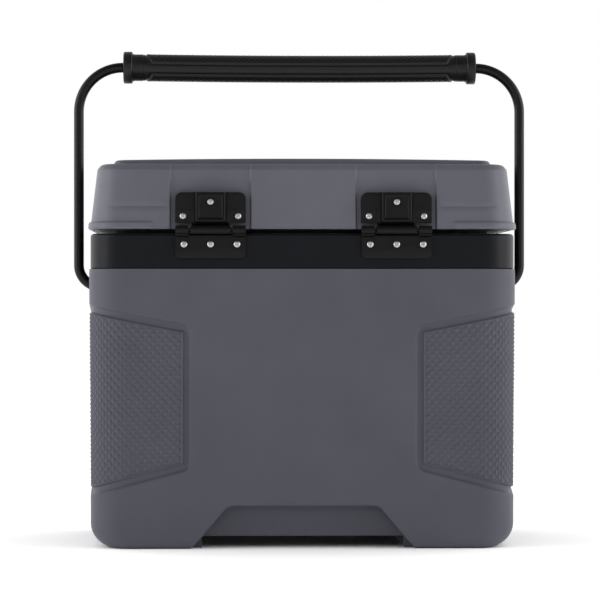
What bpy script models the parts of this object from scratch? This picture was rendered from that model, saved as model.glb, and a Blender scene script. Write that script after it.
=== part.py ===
"""Hard-sided cooler with a hinged lid, two rubber latches and a swing-up bail handle.

Metres, +Z up. The origin is on the floor under the middle of the body. The hinges are
at the rear, towards +Y, and the latches at the front, towards -Y.
"""

import math

import bmesh
import bpy
from mathutils import Matrix, Vector

# Overall sizes
BODY_WIDTH = 0.4405
BODY_DEPTH = 0.286
SHELL_HEIGHT = 0.2864
COLLAR_HEIGHT = 0.0362
LID_HEIGHT = 0.0726
LID_GAP = 0.0043

# Fits
FIT = 0.0003
SLIDE_FIT = 0.0004

# Body shell
SHELL_WALL = 0.0045
WALL_DRAFT = 0.0063
CORNER_RADIUS = 0.040
CORNER_STEPS = 4
MIN_CORNER_RADIUS = 0.008
SIDE_BOTTOM_RADIUS = 0.025
FACE_BOTTOM_RADIUS = 0.009
BOTTOM_STEPS = 4

# Base channel and the recesses at both ends of it
CHANNEL_HEIGHT = 0.0121
RECESS_HEIGHT = 0.044
RECESS_DEPTH = 0.020
RECESS_HALF_FLOOR = 0.115
RECESS_HALF_TOP = 0.077
CHANNEL_HALF_WIDTH = 0.104

# Grooves that frame the corner panels
PANEL_REACH = 0.1063
GROOVE_WIDTH = 0.009
GROOVE_DEPTH = 0.003
PANEL_TOP_DROP = 0.036
PANEL_TOP_SLOPE = 0.20
PANEL_BOTTOM = 0.0526
PANEL_BOTTOM_SLOPE = 0.26

# Collar
COLLAR_INSET = 0.0015
COLLAR_WALL = 0.0055
COLLAR_DECK = 0.003
COLLAR_EDGE_RADIUS = 0.0035
SPIGOT_DEPTH = 0.0045

# Ice chamber
INSULATED_WALL = 0.031
LINER_WALL = 0.0025
LINER_DRAFT = 0.012
LINER_CORNER_RADIUS = 0.026
LINER_FLOOR_RADIUS = 0.006
CHAMBER_FLOOR = 0.050

# Lid
LID_INSET = 0.0012
LID_SLOPE = 0.12
LID_CORNER_RADIUS = 0.038
LID_EDGE_RADIUS = 0.010
LID_WALL = 0.003
PANEL_INSET = 0.0215
PANEL_RISE = 0.0053
LIP_REACH = 0.0024
LIP_HEIGHT = 0.008
LIP_EDGE = 0.0015
LIP_END_X = 0.160
BAY_MARGIN = 0.005
BAY_DEPTH = 0.0032
PLUG_CLEARANCE = 0.003
PLUG_DEPTH = 0.008
PLUG_EDGE = 0.002
PAN_WALL = 0.0025
GASKET_WIDTH = 0.006
GASKET_OFFSET = 0.0015

# Hinges
HINGE_SPREAD = 0.190
LEAF_WIDTH = 0.072
HINGE_PIN_OUT = 0.0045
KNUCKLE_RADIUS = 0.0045
KNUCKLE_WIDTH = 0.0135
PIN_RADIUS = 0.00175
LOWER_LEAF_HEIGHT = 0.0236
LOWER_LEAF_THICKNESS = 0.005
LOWER_LEAF_RADIUS = 0.005
LOWER_SCREW_OFFSET = 0.027
LOWER_SCREW_DROP = 0.0092
PIN_INSET = 0.003
WEB_INSET = 0.0016
UPPER_LEAF_RISE = 0.0384
UPPER_LEAF_FOOT = 0.0072
UPPER_LEAF_PROUD = 0.0016
UPPER_LEAF_RADIUS = 0.007
BOSS_WIDTH = 0.040
BOSS_PROUD = 0.0066
BOSS_FOOT = 0.0025
BOSS_CHAMFER = 0.004
BOSS_SCREW_RISE = 0.0285
WING_SCREW_OFFSET = 0.028
WING_SCREW_RISE = 0.0141

# Screws
SCREW_HEAD_RADIUS = 0.0034
SCREW_HEAD_HEIGHT = 0.0022
SCREW_SHANK_RADIUS = 0.0018
SCREW_SHORT = 0.0008
SCREW_SEGMENTS = 8
PIN_SEGMENTS = 10
ROUND_SEGMENTS = 16
POCKET_SEGMENTS = 20

# Bail handle
PIVOT_DROP = 0.0181
BAIL_RISE = 0.2341
BAIL_SIDE_GAP = 0.01555
TUBE_RADIUS = 0.0053
TOP_BEND_RADIUS = 0.047
BOTTOM_BEND_RADIUS = 0.023
GRIP_RADIUS = 0.0146
NECK_RADIUS = 0.0138
END_FLANGE_RADIUS = 0.017
END_FLANGE_WIDTH = 0.010
END_NECK_WIDTH = 0.011

# Bail sockets
CUP_RADIUS = 0.012
CUP_FLANGE_RADIUS = 0.0155
CUP_FLANGE_PROUD = 0.0012
CUP_DEPTH = 0.0262
CUP_MOUTH_RADIUS = 0.0102
CUP_MOUTH_DEPTH = 0.0085
CUP_FLOOR = 0.002
BUSH_WALL = 0.0019

# Latches
LATCH_SPREAD = 0.190
STRAP_WIDTH = 0.032
STRAP_THICKNESS = 0.0045
STRAP_DROP = 0.068
TAB_WIDTH = 0.046
TAB_HEIGHT = 0.013
LATCH_PIN_DROP = 0.0475
LATCH_PIN_RADIUS = 0.0018
STRAP_EYE_RADIUS = 0.0046
EAR_WIDTH = 0.004
EAR_HALF_NOSE = 0.005
PLATE_RADIUS = 0.004
BRACKET_WIDTH = 0.064
BRACKET_HEIGHT = 0.026
BRACKET_PLATE = 0.003
BRACKET_SCREW_OFFSET = 0.027
KEEPER_WIDTH = 0.058
KEEPER_HEIGHT = 0.022
KEEPER_PLATE = 0.003
KEEPER_SCREW_OFFSET = 0.025
HORN_LENGTH = 0.0045
HORN_WIDTH = 0.018
HORN_HEIGHT = 0.005
WINDOW_WIDTH = 0.022
WINDOW_HEIGHT = 0.013

# Drain
DRAIN_RISE = 0.0205
DRAIN_POCKET_RADIUS = 0.020
DRAIN_POCKET_DEPTH = 0.012
SPOUT_RADIUS = 0.0085
SPOUT_BORE = 0.0055
SPOUT_FLANGE_RADIUS = 0.014
SPOUT_FLANGE = 0.002
NUT_RADIUS = 0.013
NUT_THICKNESS = 0.004
DRAIN_KNOB_RADIUS = 0.0125
DRAIN_KNOB_LENGTH = 0.0075
DRAIN_SHAFT_LENGTH = 0.020
SEAL_THICKNESS = 0.0015
SEAL_INSET = 0.002

# Places worked out from the sizes above
HALF_WIDTH = BODY_WIDTH / 2
HALF_DEPTH = BODY_DEPTH / 2
COLLAR_TOP = SHELL_HEIGHT + COLLAR_HEIGHT
LID_BOTTOM = COLLAR_TOP + LID_GAP
LID_TOP = LID_BOTTOM + LID_HEIGHT
LID_SHOULDER = LID_TOP - PANEL_RISE
CHAMBER_HALF_X = HALF_WIDTH - INSULATED_WALL
CHAMBER_HALF_Y = HALF_DEPTH - INSULATED_WALL
DECK_UNDERSIDE = COLLAR_TOP - COLLAR_DECK
HINGE_Y = HALF_DEPTH + HINGE_PIN_OUT
HINGE_Z = LID_BOTTOM - 0.001
PIVOT_Z = SHELL_HEIGHT - PIVOT_DROP
BAIL_HALF_WIDTH = HALF_WIDTH + BAIL_SIDE_GAP
GRIP_Z = PIVOT_Z + BAIL_RISE
GRIP_HALF_LENGTH = BAIL_HALF_WIDTH - TOP_BEND_RADIUS - 0.0008
CUP_INNER_END = HALF_WIDTH - CUP_DEPTH
BUSH_RADIUS = TUBE_RADIUS + SLIDE_FIT + BUSH_WALL
KEEPER_FACE = -(HALF_DEPTH - COLLAR_INSET) - FIT - KEEPER_PLATE
STRAP_BACK = KEEPER_FACE - HORN_LENGTH - 2 * FIT
LATCH_PIN_Y = STRAP_BACK + 0.0012
LATCH_PIN_Z = LID_TOP - LATCH_PIN_DROP
HORN_Z = LATCH_PIN_Z - 0.0465
DRAIN_Z = CHAMBER_FLOOR + DRAIN_RISE
BAY_WIDTH = max(LEAF_WIDTH, BRACKET_WIDTH) + 2 * BAY_MARGIN
POCKET_FLOOR_X = HALF_WIDTH - WALL_DRAFT * (SHELL_HEIGHT - DRAIN_Z) - DRAIN_POCKET_DEPTH

SIDES = (("left", -1), ("right", 1))
REAR, FRONT = 1, -1


def clear_scene():
    """Empties the file that the script starts in."""
    for obj in list(bpy.data.objects):
        bpy.data.objects.remove(obj, do_unlink=True)


def material(name, colour, roughness, metallic=0.0):
    """A Principled material with one plain colour."""
    made = bpy.data.materials.new(name)
    made.use_nodes = True
    shader = made.node_tree.nodes["Principled BSDF"]
    shader.inputs["Base Color"].default_value = (*colour, 1.0)
    shader.inputs["Roughness"].default_value = roughness
    shader.inputs["Metallic"].default_value = metallic
    return made


def pivot(name, location):
    """An empty on a joint's axis, which the moving pieces are parented to."""
    empty = bpy.data.objects.new(name, None)
    empty.location = location
    bpy.context.scene.collection.objects.link(empty)
    return empty


def finish(name, bm, finish_material=None, parent=None, sharp_angle=35.0):
    """Turns a bmesh in world places into an object that sits on its parent's axis."""
    bmesh.ops.remove_doubles(bm, verts=bm.verts, dist=1e-6)
    bmesh.ops.recalc_face_normals(bm, faces=bm.faces)
    mesh = bpy.data.meshes.new(name)
    bm.to_mesh(mesh)
    bm.free()
    mesh.shade_smooth()
    mesh.set_sharp_from_angle(angle=math.radians(sharp_angle))
    obj = bpy.data.objects.new(name, mesh)
    bpy.context.scene.collection.objects.link(obj)
    if finish_material:
        mesh.materials.append(finish_material)
    if parent:
        mesh.transform(Matrix.Translation(-parent.location))
        obj.parent = parent
    return obj


def as_cutter(obj):
    """Marks an object as a guide that only shapes others."""
    obj.hide_render = True
    obj.display_type = "WIRE"
    return obj


def combine(obj, other, operation, solver="EXACT"):
    """Adds a Boolean modifier and hides the object that it reads."""
    modifier = obj.modifiers.new(f"{operation.lower()}_{other.name}"[:60], "BOOLEAN")
    modifier.operation = operation
    modifier.solver = solver
    modifier.object = as_cutter(other)
    return obj


def cut(obj, *cutters):
    """Takes each cutter away from the object."""
    for cutter in cutters:
        combine(obj, cutter, "DIFFERENCE")
    return obj


def join(obj, *others):
    """Adds each shape to the object as one solid."""
    for other in others:
        combine(obj, other, "UNION")
    return obj


def loft(bm, rings):
    """Skins closed rings of equal length and caps the two ends."""
    made = [[bm.verts.new(point) for point in ring] for ring in rings]
    count = len(made[0])
    for lower, upper in zip(made, made[1:]):
        for i in range(count):
            j = (i + 1) % count
            bm.faces.new((lower[i], lower[j], upper[j], upper[i]))
    bm.faces.new(list(reversed(made[0])))
    bm.faces.new(made[-1])
    return bm


def rounded_ring(half_x, half_y, radius, z, steps=CORNER_STEPS):
    """A rectangle with round corners at height z, anticlockwise from the +X side."""
    ring = []
    for corner, (sx, sy) in enumerate(((1, 1), (-1, 1), (-1, -1), (1, -1))):
        for step in range(steps + 1):
            angle = math.radians(90 * corner + 90 * step / steps)
            x = sx * (half_x - radius) + radius * math.cos(angle)
            y = sy * (half_y - radius) + radius * math.sin(angle)
            ring.append(Vector((x, y, z)))
    return ring


def prism(name, outline, axis, start, end, finish_material=None, parent=None):
    """Extrudes an outline along X, Y or Z. The outline's points are the other two axes."""
    fixed = "XYZ".index(axis)
    rings = []
    for level in (start, end):
        ring = []
        for point in outline:
            place = list(point)
            place.insert(fixed, level)
            ring.append(Vector(place))
        rings.append(ring)
    bm = bmesh.new()
    loft(bm, rings)
    return finish(name, bm, finish_material, parent)


def block(name, low, high, finish_material=None, parent=None):
    """A plain box between two corners."""
    outline = ((low[0], low[1]), (high[0], low[1]), (high[0], high[1]), (low[0], high[1]))
    return prism(name, outline, "Z", low[2], high[2], finish_material, parent)


def plate_outline(centre, low, high, half_width, low_radius=0.0, high_radius=0.0, steps=4):
    """An upright plate's outline, with its own corner radius at the bottom and at the top."""
    outline = []
    corners = (
        (1, low, low_radius, -90),
        (1, high, high_radius, 0),
        (-1, high, high_radius, 90),
        (-1, low, low_radius, 180),
    )
    for side, z, radius, turn in corners:
        inward = 1 if z == low else -1
        if radius == 0:
            outline.append((centre + side * half_width, z))
            continue
        for step in range(steps + 1):
            angle = math.radians(turn + 90 * step / steps)
            x = centre + side * (half_width - radius) + radius * math.cos(angle)
            outline.append((x, z + inward * radius + radius * math.sin(angle)))
    return outline


def turned(name, profile, direction, centre, segments=16, finish_material=None, parent=None):
    """Spins a closed profile of (radius, distance along the axis) about an axis through centre."""
    turn = Vector((0, 0, 1)).rotation_difference(Vector(direction)).to_matrix()
    bm = bmesh.new()
    rings = []
    for step in range(segments):
        angle = 2 * math.pi * step / segments
        around = Vector((math.cos(angle), math.sin(angle), 0))
        ring = []
        for radius, along in profile:
            ring.append(bm.verts.new(Vector(centre) + turn @ (around * radius + Vector((0, 0, along)))))
        rings.append(ring)
    for step in range(segments):
        near, far = rings[step], rings[(step + 1) % segments]
        for i in range(len(profile)):
            j = (i + 1) % len(profile)
            if profile[i][0] == 0 and profile[j][0] == 0:
                continue
            corners = [near[i], near[j], far[j], far[i]]
            if profile[i][0] == 0:
                corners.remove(far[i])
            if profile[j][0] == 0:
                corners.remove(far[j])
            bm.faces.new(corners)
    return finish(name, bm, finish_material, parent)


def rod(name, radius, start, end, direction, segments=12, finish_material=None, parent=None):
    """A plain round rod between two distances along an axis through the origin of `direction`."""
    centre, axis = direction
    profile = ((0, start), (radius, start), (radius, end), (0, end))
    return turned(name, profile, axis, centre, segments, finish_material, parent)


# Body shell


def body_inset(z, radius):
    """How far a bottom edge of this radius has pulled in at height z."""
    return radius - math.sqrt(radius**2 - max(radius - z, 0.0) ** 2)


def body_half(z, inset=0.0):
    """Half width and half depth of the body at height z, drafted towards the floor."""
    draft = WALL_DRAFT * (SHELL_HEIGHT - z)
    half_x = HALF_WIDTH - draft - body_inset(z, SIDE_BOTTOM_RADIUS) - inset
    half_y = HALF_DEPTH - draft - body_inset(z, FACE_BOTTOM_RADIUS) - inset
    return half_x, half_y


def body_ring(z, inset=0.0, height=None):
    """A section of the body; height places it elsewhere than where its size is read."""
    half_x, half_y = body_half(z, inset)
    radius = max(CORNER_RADIUS - inset, MIN_CORNER_RADIUS)
    return rounded_ring(half_x, half_y, radius, z if height is None else height)


def outer_hull():
    """The solid that the shell is cut from."""
    levels = []
    for step in range(BOTTOM_STEPS + 1):
        angle = math.radians(90 * step / BOTTOM_STEPS)
        levels.append(SIDE_BOTTOM_RADIUS * (1 - math.cos(angle)))
    bm = bmesh.new()
    loft(bm, [body_ring(z) for z in (*levels, SHELL_HEIGHT)])
    return bm


def inner_hull(inset, top, step_z=None, step_inset=0.0):
    """The space inside the shell's wall, with a narrower neck above step_z if one is given."""
    levels = (0.0, SIDE_BOTTOM_RADIUS * 0.3, SIDE_BOTTOM_RADIUS)
    rings = [body_ring(z, inset, inset + z) for z in levels]
    if step_z is not None:
        rings.append(body_ring(SHELL_HEIGHT, inset, step_z))
        rings.append(body_ring(SHELL_HEIGHT, step_inset, step_z))
        rings.append(body_ring(SHELL_HEIGHT, step_inset, top))
    else:
        rings.append(body_ring(SHELL_HEIGHT, inset, top))
    bm = bmesh.new()
    loft(bm, rings)
    return bm


def recess_outline(grow, top):
    """The base recess seen from the rear: wide at the floor and narrower at its top."""
    slope = (RECESS_HALF_FLOOR - RECESS_HALF_TOP) / RECESS_HEIGHT
    side = grow * math.hypot(1, slope)
    low = -0.002
    half_low = RECESS_HALF_FLOOR + side - slope * low
    half_high = RECESS_HALF_FLOOR + side - slope * (top + grow)
    return ((-half_low, low), (half_low, low), (half_high, top + grow), (-half_high, top + grow))


def base_cutters(name, grow=0.0):
    """The channel under the base and the recess at each end of it."""
    reach = HALF_DEPTH + 0.01
    depth = HALF_DEPTH - RECESS_DEPTH - grow
    half = CHANNEL_HALF_WIDTH + grow
    channel = block(f"{name}_channel", (-half, -reach, -0.004), (half, reach, CHANNEL_HEIGHT + grow))
    rear = prism(f"{name}_rear", recess_outline(grow, RECESS_HEIGHT), "Y", depth, reach)
    front = prism(f"{name}_front", recess_outline(grow, RECESS_HEIGHT), "Y", -reach, -depth)
    return channel, rear, front


def panel_strip(name, sx, sy, margin, inner, outer):
    """A band that wraps one upright corner, between depths inner and outer from the wall."""
    straight_x = HALF_WIDTH - CORNER_RADIUS
    straight_y = HALF_DEPTH - CORNER_RADIUS
    start_x = HALF_WIDTH - PANEL_REACH + margin
    end_y = HALF_DEPTH - PANEL_REACH + margin
    path = [(start_x, HALF_DEPTH, 0, 1)]
    for step in range(CORNER_STEPS + 1):
        angle = math.radians(90 - 90 * step / CORNER_STEPS)
        nx, ny = math.cos(angle), math.sin(angle)
        path.append((straight_x + CORNER_RADIUS * nx, straight_y + CORNER_RADIUS * ny, nx, ny))
    path.append((HALF_WIDTH, end_y, 1, 0))
    rings = []
    for x, y, nx, ny in path:
        away = HALF_WIDTH - x if ny > 0 else straight_y - y
        top = SHELL_HEIGHT - PANEL_TOP_DROP - PANEL_TOP_SLOPE * away - margin
        bottom = PANEL_BOTTOM + PANEL_BOTTOM_SLOPE * away + margin
        ring = []
        for z, offset in ((top, outer), (top, inner), (bottom, inner), (bottom, outer)):
            shift = offset - WALL_DRAFT * (SHELL_HEIGHT - z)
            ring.append(Vector((sx * (x + nx * shift), sy * (y + ny * shift), z)))
        rings.append(ring)
    bm = bmesh.new()
    loft(bm, rings)
    return as_cutter(finish(name, bm))


def panel_groove(name, sx, sy):
    """The groove round one corner panel: a wide band less the panel that stays."""
    band = panel_strip(f"{name}_band", sx, sy, 0.0, -GROOVE_DEPTH, 0.004)
    panel = panel_strip(f"{name}_panel", sx, sy, GROOVE_WIDTH, -GROOVE_DEPTH - 0.002, 0.006)
    return cut(band, panel)


def make_body_shell(grey):
    """The outer tub, hollow, with its base channel, panel grooves, bail holes and drain pocket."""
    shell = finish("body_shell", outer_hull(), grey)
    cut(shell, *base_cutters("base"))
    cavity = finish("shell_cavity", inner_hull(SHELL_WALL, SHELL_HEIGHT + 0.002))
    cut(cavity, *base_cutters("base_inside", SHELL_WALL))
    line = ((0, 0, DRAIN_Z), (1, 0, 0))
    outside = HALF_WIDTH + 0.01
    wall_radius = DRAIN_POCKET_RADIUS + SHELL_WALL
    wall_floor = POCKET_FLOOR_X - SHELL_WALL
    cut(cavity, rod("pocket_inside", wall_radius, wall_floor, outside, line, POCKET_SEGMENTS))
    cut(shell, cavity)
    pocket = rod("drain_pocket", DRAIN_POCKET_RADIUS, POCKET_FLOOR_X, outside, line, POCKET_SEGMENTS)
    hole = rod("drain_hole", SPOUT_RADIUS + FIT, POCKET_FLOOR_X - 0.01, HALF_WIDTH, line, ROUND_SEGMENTS)
    cut(shell, pocket, hole)
    for name, side in SIDES:
        socket_line = ((0, 0, PIVOT_Z), (side, 0, 0))
        near = HALF_WIDTH - 0.02
        cut(shell, rod(f"bail_hole_{name}", CUP_RADIUS + FIT, near, outside, socket_line, ROUND_SEGMENTS))
    for sx in (-1, 1):
        for sy in (-1, 1):
            groove = panel_groove(f"groove_{sx}_{sy}".replace("-", "m"), sx, sy)
            combine(shell, groove, "DIFFERENCE", "MANIFOLD")
    return shell


def make_body_collar(black):
    """The rim on top of the shell: a skirt, a spigot that drops inside the shell, and a deck."""
    spigot_inset = SHELL_WALL + FIT
    foot = SHELL_HEIGHT + FIT
    edge = COLLAR_TOP - COLLAR_EDGE_RADIUS
    rings = [body_ring(SHELL_HEIGHT, spigot_inset, SHELL_HEIGHT - SPIGOT_DEPTH)]
    rings.append(body_ring(SHELL_HEIGHT, spigot_inset, foot))
    rings.append(body_ring(SHELL_HEIGHT, COLLAR_INSET, foot))
    for step in range(4):
        angle = math.radians(30 * step)
        rings.append(
            body_ring(
                SHELL_HEIGHT,
                COLLAR_INSET + COLLAR_EDGE_RADIUS * (1 - math.cos(angle)),
                edge + COLLAR_EDGE_RADIUS * math.sin(angle),
            )
        )
    bm = bmesh.new()
    loft(bm, rings)
    collar = finish("body_collar", bm, black)
    inner = COLLAR_INSET + COLLAR_WALL
    bm = bmesh.new()
    loft(bm, [body_ring(SHELL_HEIGHT, inner, z) for z in (SHELL_HEIGHT - 0.02, DECK_UNDERSIDE)])
    opening = rounded_ring(CHAMBER_HALF_X, CHAMBER_HALF_Y, LINER_CORNER_RADIUS, 0)
    way_in = bmesh.new()
    levels = (SHELL_HEIGHT - 0.03, COLLAR_TOP + 0.01)
    loft(way_in, [[point + Vector((0, 0, z)) for point in opening] for z in levels])
    return cut(collar, finish("collar_cavity", bm), finish("collar_opening", way_in))


def liner_rings(grow, floor, top):
    """Sections of the ice chamber, which tapers towards its rounded floor."""
    rings = []
    for step in range(4):
        angle = math.radians(30 * step)
        z = floor + LINER_FLOOR_RADIUS * (1 - math.cos(angle))
        inset = LINER_FLOOR_RADIUS * (1 - math.sin(angle)) - grow
        inset += LINER_DRAFT * (COLLAR_TOP - z)
        rings.append((inset, z))
    rings.append((-grow, top))
    radius = LINER_CORNER_RADIUS + grow
    sections = []
    for inset, z in rings:
        sections.append(rounded_ring(CHAMBER_HALF_X - inset, CHAMBER_HALF_Y - inset, radius, z))
    return sections


def make_body_liner(white):
    """The inner tub that holds the ice, open at the top, with a hole for the drain spout."""
    rim = DECK_UNDERSIDE - FIT
    bm = bmesh.new()
    loft(bm, liner_rings(LINER_WALL, CHAMBER_FLOOR - LINER_WALL, rim))
    liner = finish("body_liner", bm, white)
    inside = bmesh.new()
    loft(inside, liner_rings(0.0, CHAMBER_FLOOR, rim + 0.002))
    line = ((0, 0, DRAIN_Z), (1, 0, 0))
    near, far = CHAMBER_HALF_X - 0.03, CHAMBER_HALF_X + 0.01
    hole = rod("liner_drain_hole", SPOUT_RADIUS + FIT, near, far, line, ROUND_SEGMENTS)
    return cut(liner, finish("chamber_space", inside), hole)


def make_body_insulation(foam):
    """Foam that fills the space between the shell, the collar and the liner."""
    inset = SHELL_WALL + FIT
    neck_z = SHELL_HEIGHT - SPIGOT_DEPTH - FIT
    neck_inset = COLLAR_INSET + COLLAR_WALL + FIT
    hull = inner_hull(inset, DECK_UNDERSIDE - FIT, neck_z, neck_inset)
    block_of_foam = finish("body_insulation", hull, foam)
    cut(block_of_foam, *base_cutters("base_foam", SHELL_WALL + FIT))
    around = bmesh.new()
    loft(around, liner_rings(LINER_WALL + FIT, CHAMBER_FLOOR - LINER_WALL - FIT, COLLAR_TOP))
    cut(block_of_foam, finish("liner_space", around))
    line = ((0, 0, DRAIN_Z), (1, 0, 0))
    pocket_radius = DRAIN_POCKET_RADIUS + SHELL_WALL + FIT
    pocket_floor = POCKET_FLOOR_X - SHELL_WALL - FIT
    pocket = rod("foam_pocket", pocket_radius, pocket_floor, HALF_WIDTH, line, POCKET_SEGMENTS)
    hole = rod("foam_drain_hole", SPOUT_RADIUS + FIT, CHAMBER_HALF_X - 0.02, HALF_WIDTH, line, ROUND_SEGMENTS)
    cut(block_of_foam, pocket, hole)
    for name, side in SIDES:
        socket_line = ((0, 0, PIVOT_Z), (side, 0, 0))
        near, far = CUP_INNER_END - FIT, HALF_WIDTH + 0.01
        cup_hole = rod(f"foam_cup_hole_{name}", CUP_RADIUS + FIT, near, far, socket_line, ROUND_SEGMENTS)
        cut(block_of_foam, cup_hole)
    return block_of_foam


# Lid


def lid_half(z, inset=0.0):
    """Half width and half depth of the lid's sloping wall at height z."""
    slope = LID_SLOPE * (z - LID_BOTTOM)
    return HALF_WIDTH - LID_INSET - slope - inset, HALF_DEPTH - LID_INSET - slope - inset


def lid_rings(inset, bottom, shoulder, with_panel):
    """Sections of the lid from its open foot to its top."""
    edge = shoulder - LID_EDGE_RADIUS
    rings = [(inset, bottom, bottom)]
    for step in range(4):
        angle = math.radians(30 * step)
        pull = LID_EDGE_RADIUS * (1 - math.cos(angle))
        rings.append((inset + pull, edge, edge + LID_EDGE_RADIUS * math.sin(angle)))
    if with_panel:
        rings.append((inset + PANEL_INSET, edge, shoulder))
        rings.append((inset + PANEL_INSET + PANEL_RISE * 0.4, edge, shoulder + PANEL_RISE))
    sections = []
    for pull, size_z, z in rings:
        half_x, half_y = lid_half(size_z, pull)
        sections.append(rounded_ring(half_x, half_y, max(LID_CORNER_RADIUS - pull, 0.012), z))
    return sections


def bay_cutter(name, x, end, grow=0.0):
    """A recess in the lid's rear or front wall that follows the wall's slope."""
    low, high = LID_BOTTOM - 0.002, LID_SHOULDER + 0.004
    floor_low = lid_half(low)[1] - BAY_DEPTH - grow
    floor_high = lid_half(high)[1] - BAY_DEPTH - grow
    out = HALF_DEPTH + 0.01
    outline = [(end * y, z) for y, z in ((floor_low, low), (out, low), (out, high), (floor_high, high))]
    half = BAY_WIDTH / 2 + grow
    return prism(name, outline, "X", x - half, x + half)


def bay_places():
    """Name, x and end of each hinge bay and latch bay."""
    places = []
    for end_name, end, spread in (("hinge", REAR, HINGE_SPREAD), ("latch", FRONT, LATCH_SPREAD)):
        for side_name, side in SIDES:
            places.append((f"{end_name}_bay_{side_name}", side * spread / 2, end))
    return places


def make_lid_shell(grey, hinge_axis):
    """The lid's outer cover, open below, with hinge and latch bays and a lifting lip."""
    bm = bmesh.new()
    loft(bm, lid_rings(0.0, LID_BOTTOM, LID_SHOULDER, True))
    shell = finish("lid_shell", bm, grey, hinge_axis)
    lip = bmesh.new()
    half_x, half_y = lid_half(LID_BOTTOM, -LIP_REACH)
    lip_top = LID_BOTTOM + LIP_HEIGHT
    sections = (
        (LIP_EDGE, LID_BOTTOM),
        (0.0, LID_BOTTOM + LIP_EDGE),
        (0.0, lip_top - LIP_EDGE),
        (LIP_EDGE, lip_top),
    )
    rings = []
    for pull, z in sections:
        rings.append(rounded_ring(half_x - pull, half_y - pull, LID_CORNER_RADIUS + LIP_REACH - pull, z))
    loft(lip, rings)
    lip_band = finish("lip_band", lip)
    clear = HALF_DEPTH + 0.02
    low, high = LID_BOTTOM - 0.01, LID_BOTTOM + 0.02
    gap = block("lip_gap", (-LIP_END_X, -clear, low), (LIP_END_X, clear, high))
    join(shell, cut(lip_band, gap))
    cavity_bm = bmesh.new()
    loft(cavity_bm, lid_rings(LID_WALL, LID_BOTTOM - 0.001, LID_SHOULDER - LID_WALL, False))
    cavity = finish("lid_cavity", cavity_bm)
    for name, x, end in bay_places():
        cut(cavity, bay_cutter(f"{name}_inside", x, end, LID_WALL))
    cut(shell, cavity)
    for name, x, end in bay_places():
        cut(shell, bay_cutter(name, x, end))
    return shell


def plug_ring(inset, z):
    """A section of the lid's plug, which drops into the ice chamber."""
    pull = PLUG_CLEARANCE + inset
    return rounded_ring(CHAMBER_HALF_X - pull, CHAMBER_HALF_Y - pull, LINER_CORNER_RADIUS - inset, z)


def pan_bays(name, pan):
    """Clears a lid filling of the four bays."""
    for bay, x, end in bay_places():
        cut(pan, bay_cutter(f"{name}_{bay}", x, end, LID_WALL + FIT))
    return pan


def make_lid_liner(white, hinge_axis):
    """The pan that closes the lid from below."""
    under = LID_BOTTOM + FIT
    inset = LID_WALL + FIT
    plug_bottom = under - PLUG_DEPTH
    rings = [plug_ring(PLUG_EDGE, plug_bottom)]
    rings += [plug_ring(0.0, z) for z in (plug_bottom + PLUG_EDGE, under)]
    for z in (under, under + PAN_WALL):
        rings.append(rounded_ring(*lid_half(z, inset), LID_CORNER_RADIUS - inset, z))
    bm = bmesh.new()
    loft(bm, rings)
    pan = finish("lid_liner", bm, white, hinge_axis)
    hollow = bmesh.new()
    loft(hollow, [plug_ring(PAN_WALL, plug_bottom + PAN_WALL), plug_ring(PAN_WALL, under + 0.01)])
    cut(pan, finish("pan_hollow", hollow))
    return pan_bays("pan", pan)


def make_lid_insulation(foam, hinge_axis):
    """Foam in the lid, with a thicker middle that fills the pan."""
    under = LID_BOTTOM + FIT + PAN_WALL + FIT
    pan_floor = LID_BOTTOM + FIT - PLUG_DEPTH + PAN_WALL + FIT
    inset = LID_WALL + FIT
    upper = lid_rings(inset, under, LID_SHOULDER - LID_WALL - FIT, False)
    bm = bmesh.new()
    loft(bm, [plug_ring(PAN_WALL + FIT, pan_floor), plug_ring(PAN_WALL + FIT, under), *upper])
    return pan_bays("foam", finish("lid_insulation", bm, foam, hinge_axis))


def make_lid_gasket(rubber, hinge_axis):
    """The seal under the lid, round the plug."""
    low, high = COLLAR_TOP + FIT, LID_BOTTOM
    outer = -GASKET_OFFSET - GASKET_WIDTH
    bm = bmesh.new()
    loft(bm, [plug_ring(outer + 0.001, low), plug_ring(outer, low + 0.0015), plug_ring(outer, high)])
    gasket = finish("lid_gasket", bm, rubber, hinge_axis)
    hole = bmesh.new()
    loft(hole, [plug_ring(-GASKET_OFFSET, z) for z in (low - 0.01, high + 0.01)])
    return cut(gasket, finish("gasket_hole", hole))


# Screws, hinges


def screw(name, centre, end, reach, steel, parent=None):
    """A pan-head screw along Y whose head seats at centre and whose shank is `reach` long."""
    profile = (
        (0, -reach),
        (SCREW_SHANK_RADIUS, -reach),
        (SCREW_SHANK_RADIUS, FIT),
        (SCREW_HEAD_RADIUS, FIT),
        (SCREW_HEAD_RADIUS * 0.9, SCREW_HEAD_HEIGHT),
        (0, SCREW_HEAD_HEIGHT),
    )
    return turned(name, profile, (0, end, 0), centre, SCREW_SEGMENTS, steel, parent)


def screw_holes(name, centres, end, reach):
    """One cutter with a clearance hole for each screw."""
    bm = bmesh.new()
    for x, y, z in centres:
        ends = sorted((y - end * (reach + SLIDE_FIT), y + end * 0.02))
        rings = []
        for level in ends:
            ring = []
            for step in range(SCREW_SEGMENTS):
                angle = 2 * math.pi * step / SCREW_SEGMENTS
                radius = SCREW_SHANK_RADIUS + SLIDE_FIT
                ring.append(Vector((x + radius * math.cos(angle), level, z + radius * math.sin(angle))))
            rings.append(ring)
        loft(bm, rings)
    return as_cutter(finish(name, bm))


def knuckle(name, x_low, x_high, radius=KNUCKLE_RADIUS, segments=16):
    """A round barrel on the lid's hinge axis."""
    return rod(name, radius, x_low, x_high, ((0, HINGE_Y, HINGE_Z), (1, 0, 0)), segments)


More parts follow.
